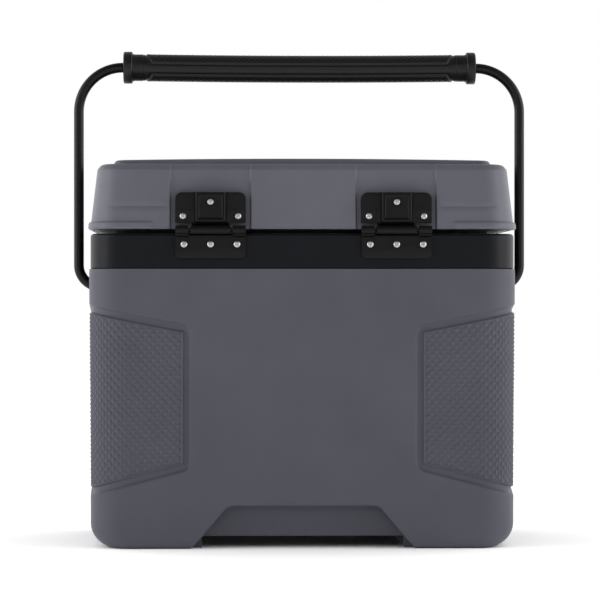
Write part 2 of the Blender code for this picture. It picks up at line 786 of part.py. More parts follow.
def make_hinge(name, side, black, steel, body, lid, hinge_axis):
    """One hinge: the leaf on the collar, the leaf on the lid, the pin and six screws."""
    x = side * HINGE_SPREAD / 2
    half = LEAF_WIDTH / 2
    pin_half = half - PIN_INSET
    line = ((0, HINGE_Y, HINGE_Z), (1, 0, 0))
    rod(f"hinge_pin_{name}", PIN_RADIUS, x - pin_half, x + pin_half, line, PIN_SEGMENTS, steel)
    bore_half = pin_half + FIT
    bore = knuckle(f"pin_bore_{name}", x - bore_half, x + bore_half, PIN_RADIUS + SLIDE_FIT, PIN_SEGMENTS)

    collar_face = HALF_DEPTH - COLLAR_INSET
    top = HINGE_Z - 0.0055
    front = collar_face + FIT + LOWER_LEAF_THICKNESS
    outline = plate_outline(x, top - LOWER_LEAF_HEIGHT, top, half, low_radius=LOWER_LEAF_RADIUS)
    lower = prism(f"hinge_lower_leaf_{name}", outline, "Y", collar_face + FIT, front, black)
    for tag, end in (("inner", -1), ("outer", 1)):
        near, far = sorted((x + end * (half - KNUCKLE_WIDTH), x + end * half))
        web_low = (near, collar_face + FIT + WEB_INSET, top - 0.001)
        web = block(f"web_{tag}_{name}", web_low, (far, front, HINGE_Z))
        join(lower, web, knuckle(f"knuckle_{tag}_{name}", near, far))
    cut(lower, bore)
    row = top - LOWER_SCREW_DROP
    centres = [(x + offset, front, row) for offset in (-LOWER_SCREW_OFFSET, 0.0, LOWER_SCREW_OFFSET)]
    reach = LOWER_LEAF_THICKNESS + COLLAR_WALL - SCREW_SHORT
    holes = screw_holes(f"lower_holes_{name}", centres, REAR, reach)
    cut(lower, holes)
    cut(body, holes)
    for number, centre in enumerate(centres, 1):
        screw(f"hinge_lower_screw_{name}_{number}", centre, REAR, reach, steel)

    foot, head = HINGE_Z + UPPER_LEAF_FOOT, HINGE_Z + UPPER_LEAF_RISE
    wing_front = HALF_DEPTH - LID_INSET + UPPER_LEAF_PROUD
    boss_front = HALF_DEPTH - LID_INSET + BOSS_PROUD
    back = lid_half(head)[1] - 0.03
    outline = plate_outline(x, foot, head, half, high_radius=UPPER_LEAF_RADIUS)
    upper = prism(f"hinge_upper_leaf_{name}", outline, "Y", back, wing_front, black, hinge_axis)
    boss_foot = HINGE_Z + BOSS_FOOT
    boss_side = (
        (back, boss_foot),
        (boss_front, boss_foot),
        (boss_front, head - BOSS_CHAMFER),
        (boss_front - BOSS_CHAMFER, head),
        (back, head),
    )
    boss = prism(f"boss_{name}", boss_side, "X", x - BOSS_WIDTH / 2, x + BOSS_WIDTH / 2)
    barrel = knuckle(f"centre_knuckle_{name}", x - BOSS_WIDTH / 2, x + BOSS_WIDTH / 2)
    low, high = boss_foot - 0.004, head + 0.01
    floor_low = lid_half(low)[1] - BAY_DEPTH + FIT
    floor_high = lid_half(high)[1] - BAY_DEPTH + FIT
    behind = ((back - 0.01, low), (floor_low, low), (floor_high, high), (back - 0.01, high))
    bay_wall = prism(f"behind_leaf_{name}", behind, "X", x - half - 0.01, x + half + 0.01)
    join(upper, boss)
    cut(upper, bay_wall)
    join(upper, barrel)
    cut(upper, bore)
    wing_z = HINGE_Z + WING_SCREW_RISE
    top_z = HINGE_Z + BOSS_SCREW_RISE
    spots = (
        (x - WING_SCREW_OFFSET, wing_front, wing_z),
        (x, boss_front, top_z),
        (x + WING_SCREW_OFFSET, wing_front, wing_z),
    )
    for number, centre in enumerate(spots, 1):
        bay_floor = lid_half(centre[2])[1] - BAY_DEPTH
        reach = centre[1] - bay_floor + LID_WALL - SCREW_SHORT
        holes = screw_holes(f"upper_holes_{name}_{number}", [centre], REAR, reach)
        cut(upper, holes)
        cut(lid, holes)
        screw(f"hinge_upper_screw_{name}_{number}", centre, REAR, reach, steel, hinge_axis)


# Bail handle


def arc_points(centre, radius, start, end, steps):
    """Points of an arc in the XZ plane, angles in degrees from +X towards +Z."""
    points = []
    for step in range(steps + 1):
        angle = math.radians(start + (end - start) * step / steps)
        points.append((centre[0] + radius * math.cos(angle), centre[1] + radius * math.sin(angle)))
    return points


def make_bail_tube(black, axis):
    """The bent tube: a stub in each socket, two legs and the bar through the grip."""
    low_centre = (BAIL_HALF_WIDTH - BOTTOM_BEND_RADIUS, PIVOT_Z + BOTTOM_BEND_RADIUS)
    high_centre = (BAIL_HALF_WIDTH - TOP_BEND_RADIUS, GRIP_Z - TOP_BEND_RADIUS)
    right = [(CUP_INNER_END + CUP_FLOOR + 0.001, PIVOT_Z)]
    right += arc_points(low_centre, BOTTOM_BEND_RADIUS, -90, 0, 5)
    right += arc_points(high_centre, TOP_BEND_RADIUS, 0, 90, 7)
    left = [(-x, z) for x, z in reversed(right)]
    curve = bpy.data.curves.new("bail_tube", "CURVE")
    curve.dimensions = "3D"
    curve.bevel_depth = TUBE_RADIUS
    curve.bevel_resolution = 3
    curve.use_fill_caps = True
    spline = curve.splines.new("POLY")
    route = right + left
    spline.points.add(len(route) - 1)
    for point, (x, z) in zip(spline.points, route):
        point.co = (x, 0, z - axis.location.z, 1)
    curve.materials.append(black)
    tube = bpy.data.objects.new("bail_tube", curve)
    bpy.context.scene.collection.objects.link(tube)
    tube.parent = axis
    return tube


def make_grip(rubber, black, axis):
    """The moulded grip on the bar and the flanged cap at each end of it."""
    bore = TUBE_RADIUS + SLIDE_FIT
    half = GRIP_HALF_LENGTH - END_FLANGE_WIDTH - END_NECK_WIDTH - FIT
    bar = (0, 0, GRIP_Z)
    chamfer = 0.0012
    profile = (
        (bore, -half),
        (GRIP_RADIUS - chamfer, -half),
        (GRIP_RADIUS, -half + chamfer),
        (GRIP_RADIUS, half - chamfer),
        (GRIP_RADIUS - chamfer, half),
        (bore, half),
    )
    turned("bail_grip", profile, (1, 0, 0), bar, 16, rubber, axis)
    for name, side in SIDES:
        start = half + FIT
        neck = start + END_NECK_WIDTH
        end = neck + END_FLANGE_WIDTH
        profile = (
            (bore, start),
            (NECK_RADIUS, start),
            (NECK_RADIUS, neck),
            (END_FLANGE_RADIUS - chamfer, neck),
            (END_FLANGE_RADIUS, neck + chamfer),
            (END_FLANGE_RADIUS, end - chamfer),
            (END_FLANGE_RADIUS - chamfer, end),
            (bore, end),
        )
        turned(f"grip_end_cap_{name}", profile, (side, 0, 0), bar, 16, black, axis)


def make_bail_sockets(black, bush_white, axis):
    """The cup that is set into each side of the body and the bush that turns in it."""
    bore = BUSH_RADIUS + SLIDE_FIT
    for name, side in SIDES:
        mouth = HALF_WIDTH - CUP_MOUTH_DEPTH
        lip = HALF_WIDTH + CUP_FLANGE_PROUD
        profile = (
            (0, CUP_INNER_END),
            (CUP_RADIUS, CUP_INNER_END),
            (CUP_RADIUS, HALF_WIDTH + FIT),
            (CUP_FLANGE_RADIUS, HALF_WIDTH + FIT),
            (CUP_FLANGE_RADIUS, lip),
            (CUP_MOUTH_RADIUS, lip),
            (CUP_MOUTH_RADIUS, mouth),
            (bore, mouth),
            (bore, CUP_INNER_END + CUP_FLOOR),
            (0, CUP_INNER_END + CUP_FLOOR),
        )
        turned(f"bail_cup_{name}", profile, (side, 0, 0), (0, 0, PIVOT_Z), 16, black)
        near, far = CUP_INNER_END + CUP_FLOOR + FIT, mouth - FIT
        hole = TUBE_RADIUS + SLIDE_FIT
        ring = ((hole, near), (BUSH_RADIUS, near), (BUSH_RADIUS, far), (hole, far))
        turned(f"bail_bush_{name}", ring, (side, 0, 0), (0, 0, PIVOT_Z), 16, bush_white, axis)


# Latches


def make_latch(name, side, rubber, black, steel, body, lid, hinge_axis):
    """One latch: bracket, pin and strap on the lid, keeper on the collar, and their screws."""
    x = side * LATCH_SPREAD / 2
    pin_z = LATCH_PIN_Z
    low, high = pin_z - BRACKET_HEIGHT / 2, pin_z + BRACKET_HEIGHT / 2
    plate_face = -lid_half(low)[1] + BAY_DEPTH - BRACKET_PLATE
    half = BRACKET_WIDTH / 2
    corner = (PLATE_RADIUS, PLATE_RADIUS, 3)
    outline = plate_outline(x, low, high, half, *corner)
    bracket = prism(f"latch_bracket_{name}", outline, "Y", plate_face, plate_face + 0.03, black, hinge_axis)
    ear_inner = STRAP_WIDTH / 2 + SLIDE_FIT
    eye = LATCH_PIN_Y - STRAP_EYE_RADIUS
    root = plate_face + 0.001
    nose = eye + 0.002
    ear_side = (
        (root, high - EAR_HALF_NOSE),
        (nose, pin_z + EAR_HALF_NOSE),
        (eye, pin_z),
        (nose, pin_z - EAR_HALF_NOSE),
        (root, low + EAR_HALF_NOSE),
    )
    for tag, end in (("inner", -1), ("outer", 1)):
        near, far = sorted((x + end * ear_inner, x + end * (ear_inner + EAR_WIDTH)))
        join(bracket, prism(f"ear_{tag}_{name}", ear_side, "X", near, far))
    below, above = low - 0.01, high + 0.01
    floor_below = -(lid_half(below)[1] - BAY_DEPTH + FIT)
    floor_above = -(lid_half(above)[1] - BAY_DEPTH + FIT)
    behind = (
        (floor_below, below),
        (floor_below + 0.05, below),
        (floor_above + 0.05, above),
        (floor_above, above),
    )
    cut(bracket, prism(f"behind_bracket_{name}", behind, "X", x - half - 0.01, x + half + 0.01))
    pin_line = ((0, LATCH_PIN_Y, pin_z), (1, 0, 0))
    reach = ear_inner + EAR_WIDTH
    bore_radius = LATCH_PIN_RADIUS + SLIDE_FIT
    cut(bracket, rod(f"bracket_bore_{name}", bore_radius, x - reach - 0.01, x + reach + 0.01, pin_line))
    rod(f"latch_pin_{name}", LATCH_PIN_RADIUS, x - reach, x + reach, pin_line, 12, steel, hinge_axis)
    spots = [(x + offset, plate_face, pin_z) for offset in (-BRACKET_SCREW_OFFSET, BRACKET_SCREW_OFFSET)]
    for number, centre in enumerate(spots, 1):
        bay_floor = lid_half(pin_z)[1] - BAY_DEPTH
        shank = -centre[1] - bay_floor + LID_WALL - SCREW_SHORT
        holes = screw_holes(f"bracket_holes_{name}_{number}", [centre], FRONT, shank)
        cut(bracket, holes)
        cut(lid, holes)
        screw(f"bracket_screw_{name}_{number}", centre, FRONT, shank, steel, hinge_axis)

    latch_axis = pivot(f"latch_axis_{name}", (x, LATCH_PIN_Y, pin_z))
    strap_front = STRAP_BACK - STRAP_THICKNESS
    bottom = pin_z - STRAP_DROP
    half = STRAP_WIDTH / 2
    outline = plate_outline(x, bottom + 0.002, pin_z, half)
    strap = prism(f"latch_strap_{name}", outline, "Y", strap_front, STRAP_BACK, rubber, latch_axis)
    outline = plate_outline(x, bottom, bottom + TAB_HEIGHT, TAB_WIDTH / 2, *corner)
    tab = prism(f"tab_{name}", outline, "Y", strap_front - 0.001, STRAP_BACK)
    eye_barrel = rod(f"strap_eye_{name}", STRAP_EYE_RADIUS, x - half, x + half, pin_line, ROUND_SEGMENTS)
    join(strap, tab, eye_barrel)
    window = block(
        f"window_{name}",
        (x - WINDOW_WIDTH / 2, strap_front - 0.01, HORN_Z - WINDOW_HEIGHT / 2),
        (x + WINDOW_WIDTH / 2, STRAP_BACK + 0.01, HORN_Z + WINDOW_HEIGHT / 2),
    )
    cut(strap, window, rod(f"eye_bore_{name}", bore_radius, x - reach, x + reach, pin_line))

    collar_face = -(HALF_DEPTH - COLLAR_INSET)
    low, high = HORN_Z - KEEPER_HEIGHT / 2, HORN_Z + KEEPER_HEIGHT / 2
    outline = plate_outline(x, low, high, KEEPER_WIDTH / 2, *corner)
    keeper = prism(f"latch_keeper_{name}", outline, "Y", KEEPER_FACE, collar_face - FIT, black)
    horn = block(
        f"horn_{name}",
        (x - HORN_WIDTH / 2, KEEPER_FACE - HORN_LENGTH, HORN_Z - HORN_HEIGHT / 2),
        (x + HORN_WIDTH / 2, KEEPER_FACE + 0.001, HORN_Z + HORN_HEIGHT / 2),
    )
    join(keeper, horn)
    spots = [(x + offset, KEEPER_FACE, HORN_Z) for offset in (-KEEPER_SCREW_OFFSET, KEEPER_SCREW_OFFSET)]
    shank = KEEPER_PLATE + COLLAR_WALL - SCREW_SHORT
    holes = screw_holes(f"keeper_holes_{name}", spots, FRONT, shank)
    cut(keeper, holes)
    cut(body, holes)
    for number, centre in enumerate(spots, 1):
        screw(f"keeper_screw_{name}_{number}", centre, FRONT, shank, steel)


# Drain


def make_drain(white, black, rubber):
    """The spout through the right-hand wall, its nut inside, and the plug with its washer."""
    line = (1, 0, 0)
    centre = (0, 0, DRAIN_Z)
    taper = LINER_DRAFT * (COLLAR_TOP - DRAIN_Z)
    chamber_x = CHAMBER_HALF_X - taper
    inner_end = chamber_x - NUT_THICKNESS - 3 * FIT - 0.001
    flange_x = POCKET_FLOOR_X + FIT
    face = flange_x + SPOUT_FLANGE
    profile = (
        (SPOUT_BORE, inner_end),
        (SPOUT_RADIUS, inner_end),
        (SPOUT_RADIUS, flange_x),
        (SPOUT_FLANGE_RADIUS, flange_x),
        (SPOUT_FLANGE_RADIUS, face),
        (SPOUT_BORE, face),
    )
    turned("drain_spout", profile, line, centre, 16, black)
    nut_out = chamber_x - LINER_DRAFT * NUT_RADIUS - FIT
    ring = (
        (SPOUT_RADIUS + SLIDE_FIT, nut_out - NUT_THICKNESS),
        (NUT_RADIUS, nut_out - NUT_THICKNESS),
        (NUT_RADIUS, nut_out),
        (SPOUT_RADIUS + SLIDE_FIT, nut_out),
    )
    nut = turned("drain_nut", ring, line, centre, 6, white)
    bore_ends = (nut_out - 0.02, nut_out + 0.02)
    cut(nut, rod("nut_bore", SPOUT_RADIUS + SLIDE_FIT, *bore_ends, (centre, line), ROUND_SEGMENTS))
    plug_axis = pivot("drain_axis", (face, 0, DRAIN_Z))
    shaft = SPOUT_BORE - SLIDE_FIT
    seat = face + FIT
    seal_radius = DRAIN_KNOB_RADIUS - SEAL_INSET
    seal_top = seat + SEAL_THICKNESS
    hole = shaft + SLIDE_FIT
    seal = ((hole, seat), (seal_radius, seat), (seal_radius, seal_top), (hole, seal_top))
    turned("drain_plug_seal", seal, line, centre, 16, rubber, plug_axis)
    knob = seat + SEAL_THICKNESS + FIT
    profile = (
        (0, knob - DRAIN_SHAFT_LENGTH),
        (shaft - 0.0008, knob - DRAIN_SHAFT_LENGTH),
        (shaft, knob - DRAIN_SHAFT_LENGTH + 0.002),
        (shaft, knob),
        (DRAIN_KNOB_RADIUS, knob),
        (DRAIN_KNOB_RADIUS, knob + DRAIN_KNOB_LENGTH - 0.001),
        (DRAIN_KNOB_RADIUS - 0.001, knob + DRAIN_KNOB_LENGTH),
        (0, knob + DRAIN_KNOB_LENGTH),
    )
    turned("drain_plug", profile, line, centre, 16, black, plug_axis)


def main():
    """Builds every piece."""
    clear_scene()
    shell_grey = material("shell_grey", (0.089, 0.089, 0.112), 0.55)
    lid_grey = material("lid_grey", (0.115, 0.115, 0.138), 0.5)
    collar_black = material("collar_black", (0.012, 0.013, 0.016), 0.5)
    hinge_black = material("hinge_black", (0.017, 0.018, 0.019), 0.45)
    tube_black = material("tube_black", (0.008, 0.008, 0.009), 0.35)
    grip_black = material("grip_black", (0.010, 0.010, 0.011), 0.6)
    liner_white = material("liner_white", (0.62, 0.63, 0.64), 0.4)
    foam = material("foam", (0.72, 0.62, 0.38), 0.9)
    steel = material("screw_steel", (0.56, 0.57, 0.58), 0.3, 1.0)
    rubber = material("seal_rubber", (0.02, 0.02, 0.021), 0.75)

    hinge_axis = pivot("lid_axis", (0, HINGE_Y, HINGE_Z))
    carrier_axis = pivot("bail_carrier_axis", (0, 0, PIVOT_Z))
    bail_axis = pivot("bail_axis", (0, 0, PIVOT_Z))

    make_body_shell(shell_grey)
    collar = make_body_collar(collar_black)
    make_body_liner(liner_white)
    make_body_insulation(foam)
    lid = make_lid_shell(lid_grey, hinge_axis)
    make_lid_liner(liner_white, hinge_axis)
    make_lid_insulation(foam, hinge_axis)
    make_lid_gasket(rubber, hinge_axis)
    for name, side in SIDES:
        make_hinge(name, side, hinge_black, steel, collar, lid, hinge_axis)
        make_latch(name, side, rubber, hinge_black, steel, collar, lid, hinge_axis)
    make_bail_tube(tube_black, bail_axis)
    make_grip(grip_black, hinge_black, bail_axis)
    make_bail_sockets(hinge_black, liner_white, carrier_axis)
    make_drain(liner_white, hinge_black, rubber)


main()
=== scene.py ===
"""Looks of the hard-sided cooler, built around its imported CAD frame.

Every piece is made in metres in the frame's own axes: +Z up, the hinges towards +Y and
the latches towards -Y.
"""

import logging
import math
from dataclasses import dataclass, field
from enum import Enum
from typing import Callable, Iterable, Optional, Sequence

import bmesh
import bpy
from mathutils import Matrix, Vector


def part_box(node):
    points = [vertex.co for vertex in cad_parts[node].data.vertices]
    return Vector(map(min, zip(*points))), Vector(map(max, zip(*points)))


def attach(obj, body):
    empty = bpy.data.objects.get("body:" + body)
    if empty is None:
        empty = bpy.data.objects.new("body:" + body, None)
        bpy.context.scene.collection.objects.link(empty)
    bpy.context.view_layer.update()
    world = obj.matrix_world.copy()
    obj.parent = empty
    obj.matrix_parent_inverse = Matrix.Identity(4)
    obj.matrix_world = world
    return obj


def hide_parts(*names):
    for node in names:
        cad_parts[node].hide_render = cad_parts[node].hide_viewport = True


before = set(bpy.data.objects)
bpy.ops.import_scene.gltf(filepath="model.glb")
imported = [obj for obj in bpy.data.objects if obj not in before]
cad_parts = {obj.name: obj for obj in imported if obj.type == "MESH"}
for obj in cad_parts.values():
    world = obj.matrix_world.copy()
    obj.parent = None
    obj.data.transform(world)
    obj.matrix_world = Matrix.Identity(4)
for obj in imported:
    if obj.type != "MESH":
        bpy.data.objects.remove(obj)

LOG = logging.getLogger("cooler")
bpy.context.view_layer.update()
SIDES = (("left", -1), ("right", 1))


class Body(Enum):
    """The rigid bodies of the frame."""

    TUB = "body"
    LID = "lid"
    CARRIER = "bail_carrier"
    BAIL = "bail"
    LATCH_LEFT = "latch_left"
    LATCH_RIGHT = "latch_right"
    DRAIN = "drain_plug"


class Cut(Enum):
    """What a Boolean does to the piece it is put on."""

    TAKE = "DIFFERENCE"
    ADD = "UNION"


# Finishes


@dataclass(frozen=True)
class Plastic:
    """A moulded plastic or rubber with a fine grain and slow changes of tone.

    Attributes:
        name: Name of the Blender material.
        colour: Linear base colour.
        roughness: Middle of the roughness range.
        grain: Size of the grain in metres.
        relief: Height that the grain's bump works with, in metres.
        mottle: How far the tone drifts, as a share.
        shine: Specular level.
    """

    name: str
    colour: tuple[float, float, float]
    roughness: float = 0.5
    grain: float = 0.0009
    relief: float = 0.00005
    mottle: float = 0.06
    shine: float = 0.12

    def build(self) -> bpy.types.Material:
        """Makes and returns the node material."""
        made, nodes, links, shader = new_material(self.name)
        shader.inputs["Specular IOR Level"].default_value = self.shine
        place = nodes.new("ShaderNodeTexCoord")
        drift = noise_node(nodes, links, place, 14.0, 3.0)
        low, high = scaled(self.colour, 1 - self.mottle), scaled(self.colour, 1 + self.mottle)
        tone = ramp_node(nodes, links, drift, low, high)
        links.new(tone.outputs["Color"], shader.inputs["Base Color"])
        speckle = noise_node(nodes, links, place, 1.0 / self.grain, 4.0)
        gloss = range_node(nodes, links, speckle, self.roughness - 0.06, self.roughness + 0.08)
        links.new(gloss.outputs["Result"], shader.inputs["Roughness"])
        bump = bump_node(nodes, links, speckle.outputs["Fac"], shader, self.relief)
        bump.inputs["Strength"].default_value = 0.6
        return made


@dataclass(frozen=True)
class Steel:
    """Bright stainless steel with faint turning marks."""

    name: str
    colour: tuple[float, float, float]
    roughness: float = 0.28

    def build(self) -> bpy.types.Material:
        """Makes and returns the node material."""
        made, nodes, links, shader = new_material(self.name)
        shader.inputs["Metallic"].default_value = 1.0
        place = nodes.new("ShaderNodeTexCoord")
        marks = noise_node(nodes, links, place, 900.0, 5.0)
        tone = ramp_node(nodes, links, marks, scaled(self.colour, 0.85), scaled(self.colour, 1.08))
        links.new(tone.outputs["Color"], shader.inputs["Base Color"])
        gloss = range_node(nodes, links, marks, self.roughness - 0.08, self.roughness + 0.12)
        links.new(gloss.outputs["Result"], shader.inputs["Roughness"])
        return made


@dataclass(frozen=True)
class Foam:
    """Rigid foam with a skin of small open cells."""

    name: str
    colour: tuple[float, float, float]

    def build(self) -> bpy.types.Material:
        """Makes and returns the node material."""
        made, nodes, links, shader = new_material(self.name)
        shader.inputs["Roughness"].default_value = 0.9
        place = nodes.new("ShaderNodeTexCoord")
        cells = nodes.new("ShaderNodeTexVoronoi")
        cells.inputs["Scale"].default_value = 700.0
        links.new(place.outputs["Object"], cells.inputs["Vector"])
        drift = noise_node(nodes, links, place, 40.0, 3.0)
        tone = ramp_node(nodes, links, drift, scaled(self.colour, 0.85), self.colour)
        links.new(tone.outputs["Color"], shader.inputs["Base Color"])
        bump_node(nodes, links, cells.outputs["Distance"], shader, 0.0003)
        return made


def scaled(colour: Sequence[float], share: float) -> tuple[float, ...]:
    """Returns the colour made lighter or darker by a share."""
    return tuple(min(1.0, part * share) for part in colour)


def new_material(name: str) -> tuple:
    """Starts a Principled material.

    Args:
        name: Name of the material.

    Returns:
        The material, its nodes, its links and its shader.
    """
    made = bpy.data.materials.new(name)
    made.use_nodes = True
    tree = made.node_tree
    return made, tree.nodes, tree.links, tree.nodes["Principled BSDF"]


def noise_node(nodes, links, place, scale: float, detail: float) -> bpy.types.Node:
    """Adds noise on object coordinates and returns its node."""
    node = nodes.new("ShaderNodeTexNoise")
    node.inputs["Scale"].default_value = scale
    node.inputs["Detail"].default_value = detail
    node.inputs["Roughness"].default_value = 0.55
    links.new(place.outputs["Object"], node.inputs["Vector"])
    return node


def ramp_node(nodes, links, source, low: Sequence[float], high: Sequence[float]) -> bpy.types.Node:
    """Adds a colour ramp between two colours and returns its node."""
    node = nodes.new("ShaderNodeValToRGB")
    node.color_ramp.elements[0].position = 0.3
    node.color_ramp.elements[1].position = 0.7
    node.color_ramp.elements[0].color = (*low, 1.0)
    node.color_ramp.elements[1].color = (*high, 1.0)
    links.new(source.outputs["Fac"], node.inputs["Fac"])
    return node


def range_node(nodes, links, source, low: float, high: float) -> bpy.types.Node:
    """Adds a map from 0..1 to low..high and returns its node."""
    node = nodes.new("ShaderNodeMapRange")
    node.inputs["To Min"].default_value = low
    node.inputs["To Max"].default_value = high
    links.new(source.outputs["Fac"], node.inputs["Value"])
    return node


def bump_node(nodes, links, height, shader, relief: float) -> bpy.types.Node:
    """Adds a bump from a height output to a shader's normal and returns its node."""
    node = nodes.new("ShaderNodeBump")
    node.inputs["Distance"].default_value = relief
    links.new(height, node.inputs["Height"])
    links.new(node.outputs["Normal"], shader.inputs["Normal"])
    return node


class Finishes:
    """All the finishes, made once and shared."""

    def __init__(self) -> None:
        """Builds each material."""
        self.shell = Plastic("shell_grey", (0.081, 0.081, 0.101), 0.44, relief=0.00004).build()
        # The lid's base grey is a lighter copy of the shell's grey: painted light for the top light that the
        # lid's upward-leaning walls catch.
        self.lid = Plastic("lid_grey", (0.106, 0.107, 0.131), 0.38, relief=0.00003, shine=0.25).build()
        self.collar = Plastic("collar_black", (0.0050, 0.0055, 0.0075), 0.36).build()
        self.nylon = Plastic("hinge_nylon", (0.0045, 0.0046, 0.0048), 0.36, grain=0.0006, shine=0.14).build()
        self.liner = Plastic("liner_white", (0.68, 0.69, 0.70), 0.38, mottle=0.02).build()
        tube = Plastic("tube_powder_coat", (0.0035, 0.0035, 0.0038), 0.3, grain=0.0007, shine=0.2)
        self.tube = tube.build()
        self.grip = Plastic("grip_rubber", (0.0060, 0.0060, 0.0063), 0.36, grain=0.0005, shine=0.26).build()
        self.strap = Plastic("strap_rubber", (0.016, 0.016, 0.0165), 0.55, grain=0.0005).build()
        self.seal = Plastic("seal_rubber", (0.02, 0.02, 0.021), 0.7, grain=0.0006).build()
        self.steel = Steel("screw_steel", (0.55, 0.55, 0.55)).build()
        self.pin = Steel("pin_blackened", (0.03, 0.03, 0.03), 0.45).build()
        self.foam = Foam("foam_cream", (0.75, 0.66, 0.44)).build()


# Mesh tools


def to_object(
    name: str, bm: bmesh.types.BMesh, finish: bpy.types.Material, sharp: float = 35.0
) -> bpy.types.Object:
    """Turns a bmesh into a shaded object at the origin.

    Args:
        name: Name of the piece.
        bm: The finished mesh, in the frame's axes.
        finish: Its material.
        sharp: Angle in degrees above which an edge stays crisp.

    Returns:
        The new object.
    """
    mesh = bpy.data.meshes.new(name)
    bm.to_mesh(mesh)
    bm.free()
    mesh.shade_smooth()
    mesh.set_sharp_from_angle(angle=math.radians(sharp))
    mesh.materials.append(finish)
    return linked(name, mesh)


def linked(name: str, data: bpy.types.ID) -> bpy.types.Object:
    """Puts a mesh, a light or a camera into the scene as a new object."""
    obj = bpy.data.objects.new(name, data)
    bpy.context.scene.collection.objects.link(obj)
    return obj


def baked(obj: bpy.types.Object, sharp: float = 35.0) -> bpy.types.Object:
    """Applies the object's modifiers to its mesh; edges above sharp degrees stay crisp."""
    graph = bpy.context.evaluated_depsgraph_get()
    mesh = bpy.data.meshes.new_from_object(obj.evaluated_get(graph))
    obj.modifiers.clear()
    obj.data = mesh
    mesh.shade_smooth()
    mesh.set_sharp_from_angle(angle=math.radians(sharp))
    return obj


def carve(
    obj: bpy.types.Object, cutters: Iterable[bpy.types.Object], how: Cut = Cut.TAKE
) -> bpy.types.Object:
    """Combines closed solids with a piece and removes them.

    Args:
        obj: The piece.
        cutters: Closed solids.
        how: Whether they are taken away or added.

    Returns:
        The same piece with its new mesh.
    """
    used = list(cutters)
    for cutter in used:
        modifier = obj.modifiers.new(cutter.name, "BOOLEAN")
        modifier.operation = how.value
        modifier.solver = "MANIFOLD"
        modifier.object = cutter
    baked(obj)
    for cutter in used:
        bpy.data.objects.remove(cutter, do_unlink=True)
    return obj


def box_mesh(low: Sequence[float], high: Sequence[float]) -> bmesh.types.BMesh:
    """Returns a bmesh box between two corners."""
    bm = bmesh.new()
    size = Vector(high) - Vector(low)
    middle = (Vector(high) + Vector(low)) / 2
    bmesh.ops.create_cube(bm, size=1.0, matrix=Matrix.Translation(middle) @ Matrix.Diagonal((*size, 1.0)))
    return bm


def soften(
    bm: bmesh.types.BMesh, width: float, segments: int = 3, edges: Optional[Iterable] = None
) -> bmesh.types.BMesh:
    """Rounds edges of a bmesh.

    Args:
        bm: The mesh.
        width: Offset of the rounding.
        segments: Faces across it.
        edges: The edges, or None for all of them.

    Returns:
        The same mesh.
    """
    bmesh.ops.bevel(
        bm,
        geom=list(bm.edges if edges is None else edges),
        offset=width,
        offset_type="OFFSET",
        segments=segments,
        profile=0.5,
        affect="EDGES",
        material=-1,
    )
    return bm


def creases(bm: bmesh.types.BMesh, least: float, most: float = math.inf) -> list:
    """Returns the edges whose faces meet at more than least and less than most radians."""
    return [edge for edge in bm.edges if least < edge.calc_face_angle(0) < most]


def open_edges(bm: bmesh.types.BMesh) -> list:
    """Returns the edges that have one face only."""
    return [edge for edge in bm.edges if edge.is_boundary]


def closed(bm: bmesh.types.BMesh) -> bmesh.types.BMesh:
    """Fills the open ends of a mesh and turns its faces outwards."""
    bmesh.ops.holes_fill(bm, edges=open_edges(bm), sides=0)
    bmesh.ops.recalc_face_normals(bm, faces=bm.faces)
    return bm


def grid_mesh(columns: int, rows: int, place: Callable[[int, int], Sequence[float]]) -> bmesh.types.BMesh:
    """Makes a grid of columns by rows faces and puts each vertex where place says from its two counts."""
    bm = bmesh.new()
    bmesh.ops.create_grid(bm, x_segments=columns, y_segments=rows, size=0.5)
    for vert in bm.verts:
        vert.co = place(round((vert.co.x + 0.5) * columns), round((vert.co.y + 0.5) * rows))
    return bm


def middle_of(node: str) -> Vector:
    """Returns the middle of a CAD node's box."""
    low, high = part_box(node)
    return (low + high) / 2


def edges_along(bm: bmesh.types.BMesh, axis: int, test: Callable[[Vector], bool]) -> list:
    """Finds straight edges.

    Args:
        bm: The mesh.
        axis: 0, 1 or 2 for X, Y or Z.
        test: Says from an edge's middle whether it counts.

    Returns:
        The edges along the axis that pass the test.
    """
    found = []
    for edge in bm.edges:
        run = edge.verts[1].co - edge.verts[0].co
        if abs(run[axis]) > 0.99 * run.length and test((edge.verts[0].co + edge.verts[1].co) / 2):
            found.append(edge)
    return found


def rod_mesh(radius: float, start: Vector, end: Vector, segments: int = 32) -> bmesh.types.BMesh:
    """Returns a closed round bar between two points."""
    bm = bmesh.new()
    run = end - start
    turn = run.to_track_quat("Z", "Y").to_matrix().to_4x4()
    bmesh.ops.create_cone(
        bm,
        cap_ends=True,
        segments=segments,
        radius1=radius,
        radius2=radius,
        depth=run.length,
        matrix=Matrix.Translation((start + end) / 2) @ turn,
    )
    return bm


def turned_mesh(
    profile: Sequence[tuple[float, float]], centre: Vector, direction: Vector, segments: int = 48
) -> bmesh.types.BMesh:
    """Spins a profile about an axis.

    Args:
        profile: Points of (radius, distance along the axis), open or closed.
        centre: A point on the axis where the distance is 0.
        direction: The axis.
        segments: Faces round it.

    Returns:
        The turned mesh with its normals out.
    """
    bm = bmesh.new()
    turn = Vector((0, 0, 1)).rotation_difference(direction).to_matrix()
    verts = [bm.verts.new(centre + turn @ Vector((radius, 0, along))) for radius, along in profile]
    edges = [bm.edges.new(pair) for pair in zip(verts, verts[1:])]
    bmesh.ops.spin(
        bm, geom=verts + edges, cent=centre, axis=direction, angle=2 * math.pi, steps=segments, use_merge=True
    )
    bmesh.ops.remove_doubles(bm, verts=bm.verts, dist=1e-6)
    bmesh.ops.recalc_face_normals(bm, faces=bm.faces)
    return bm


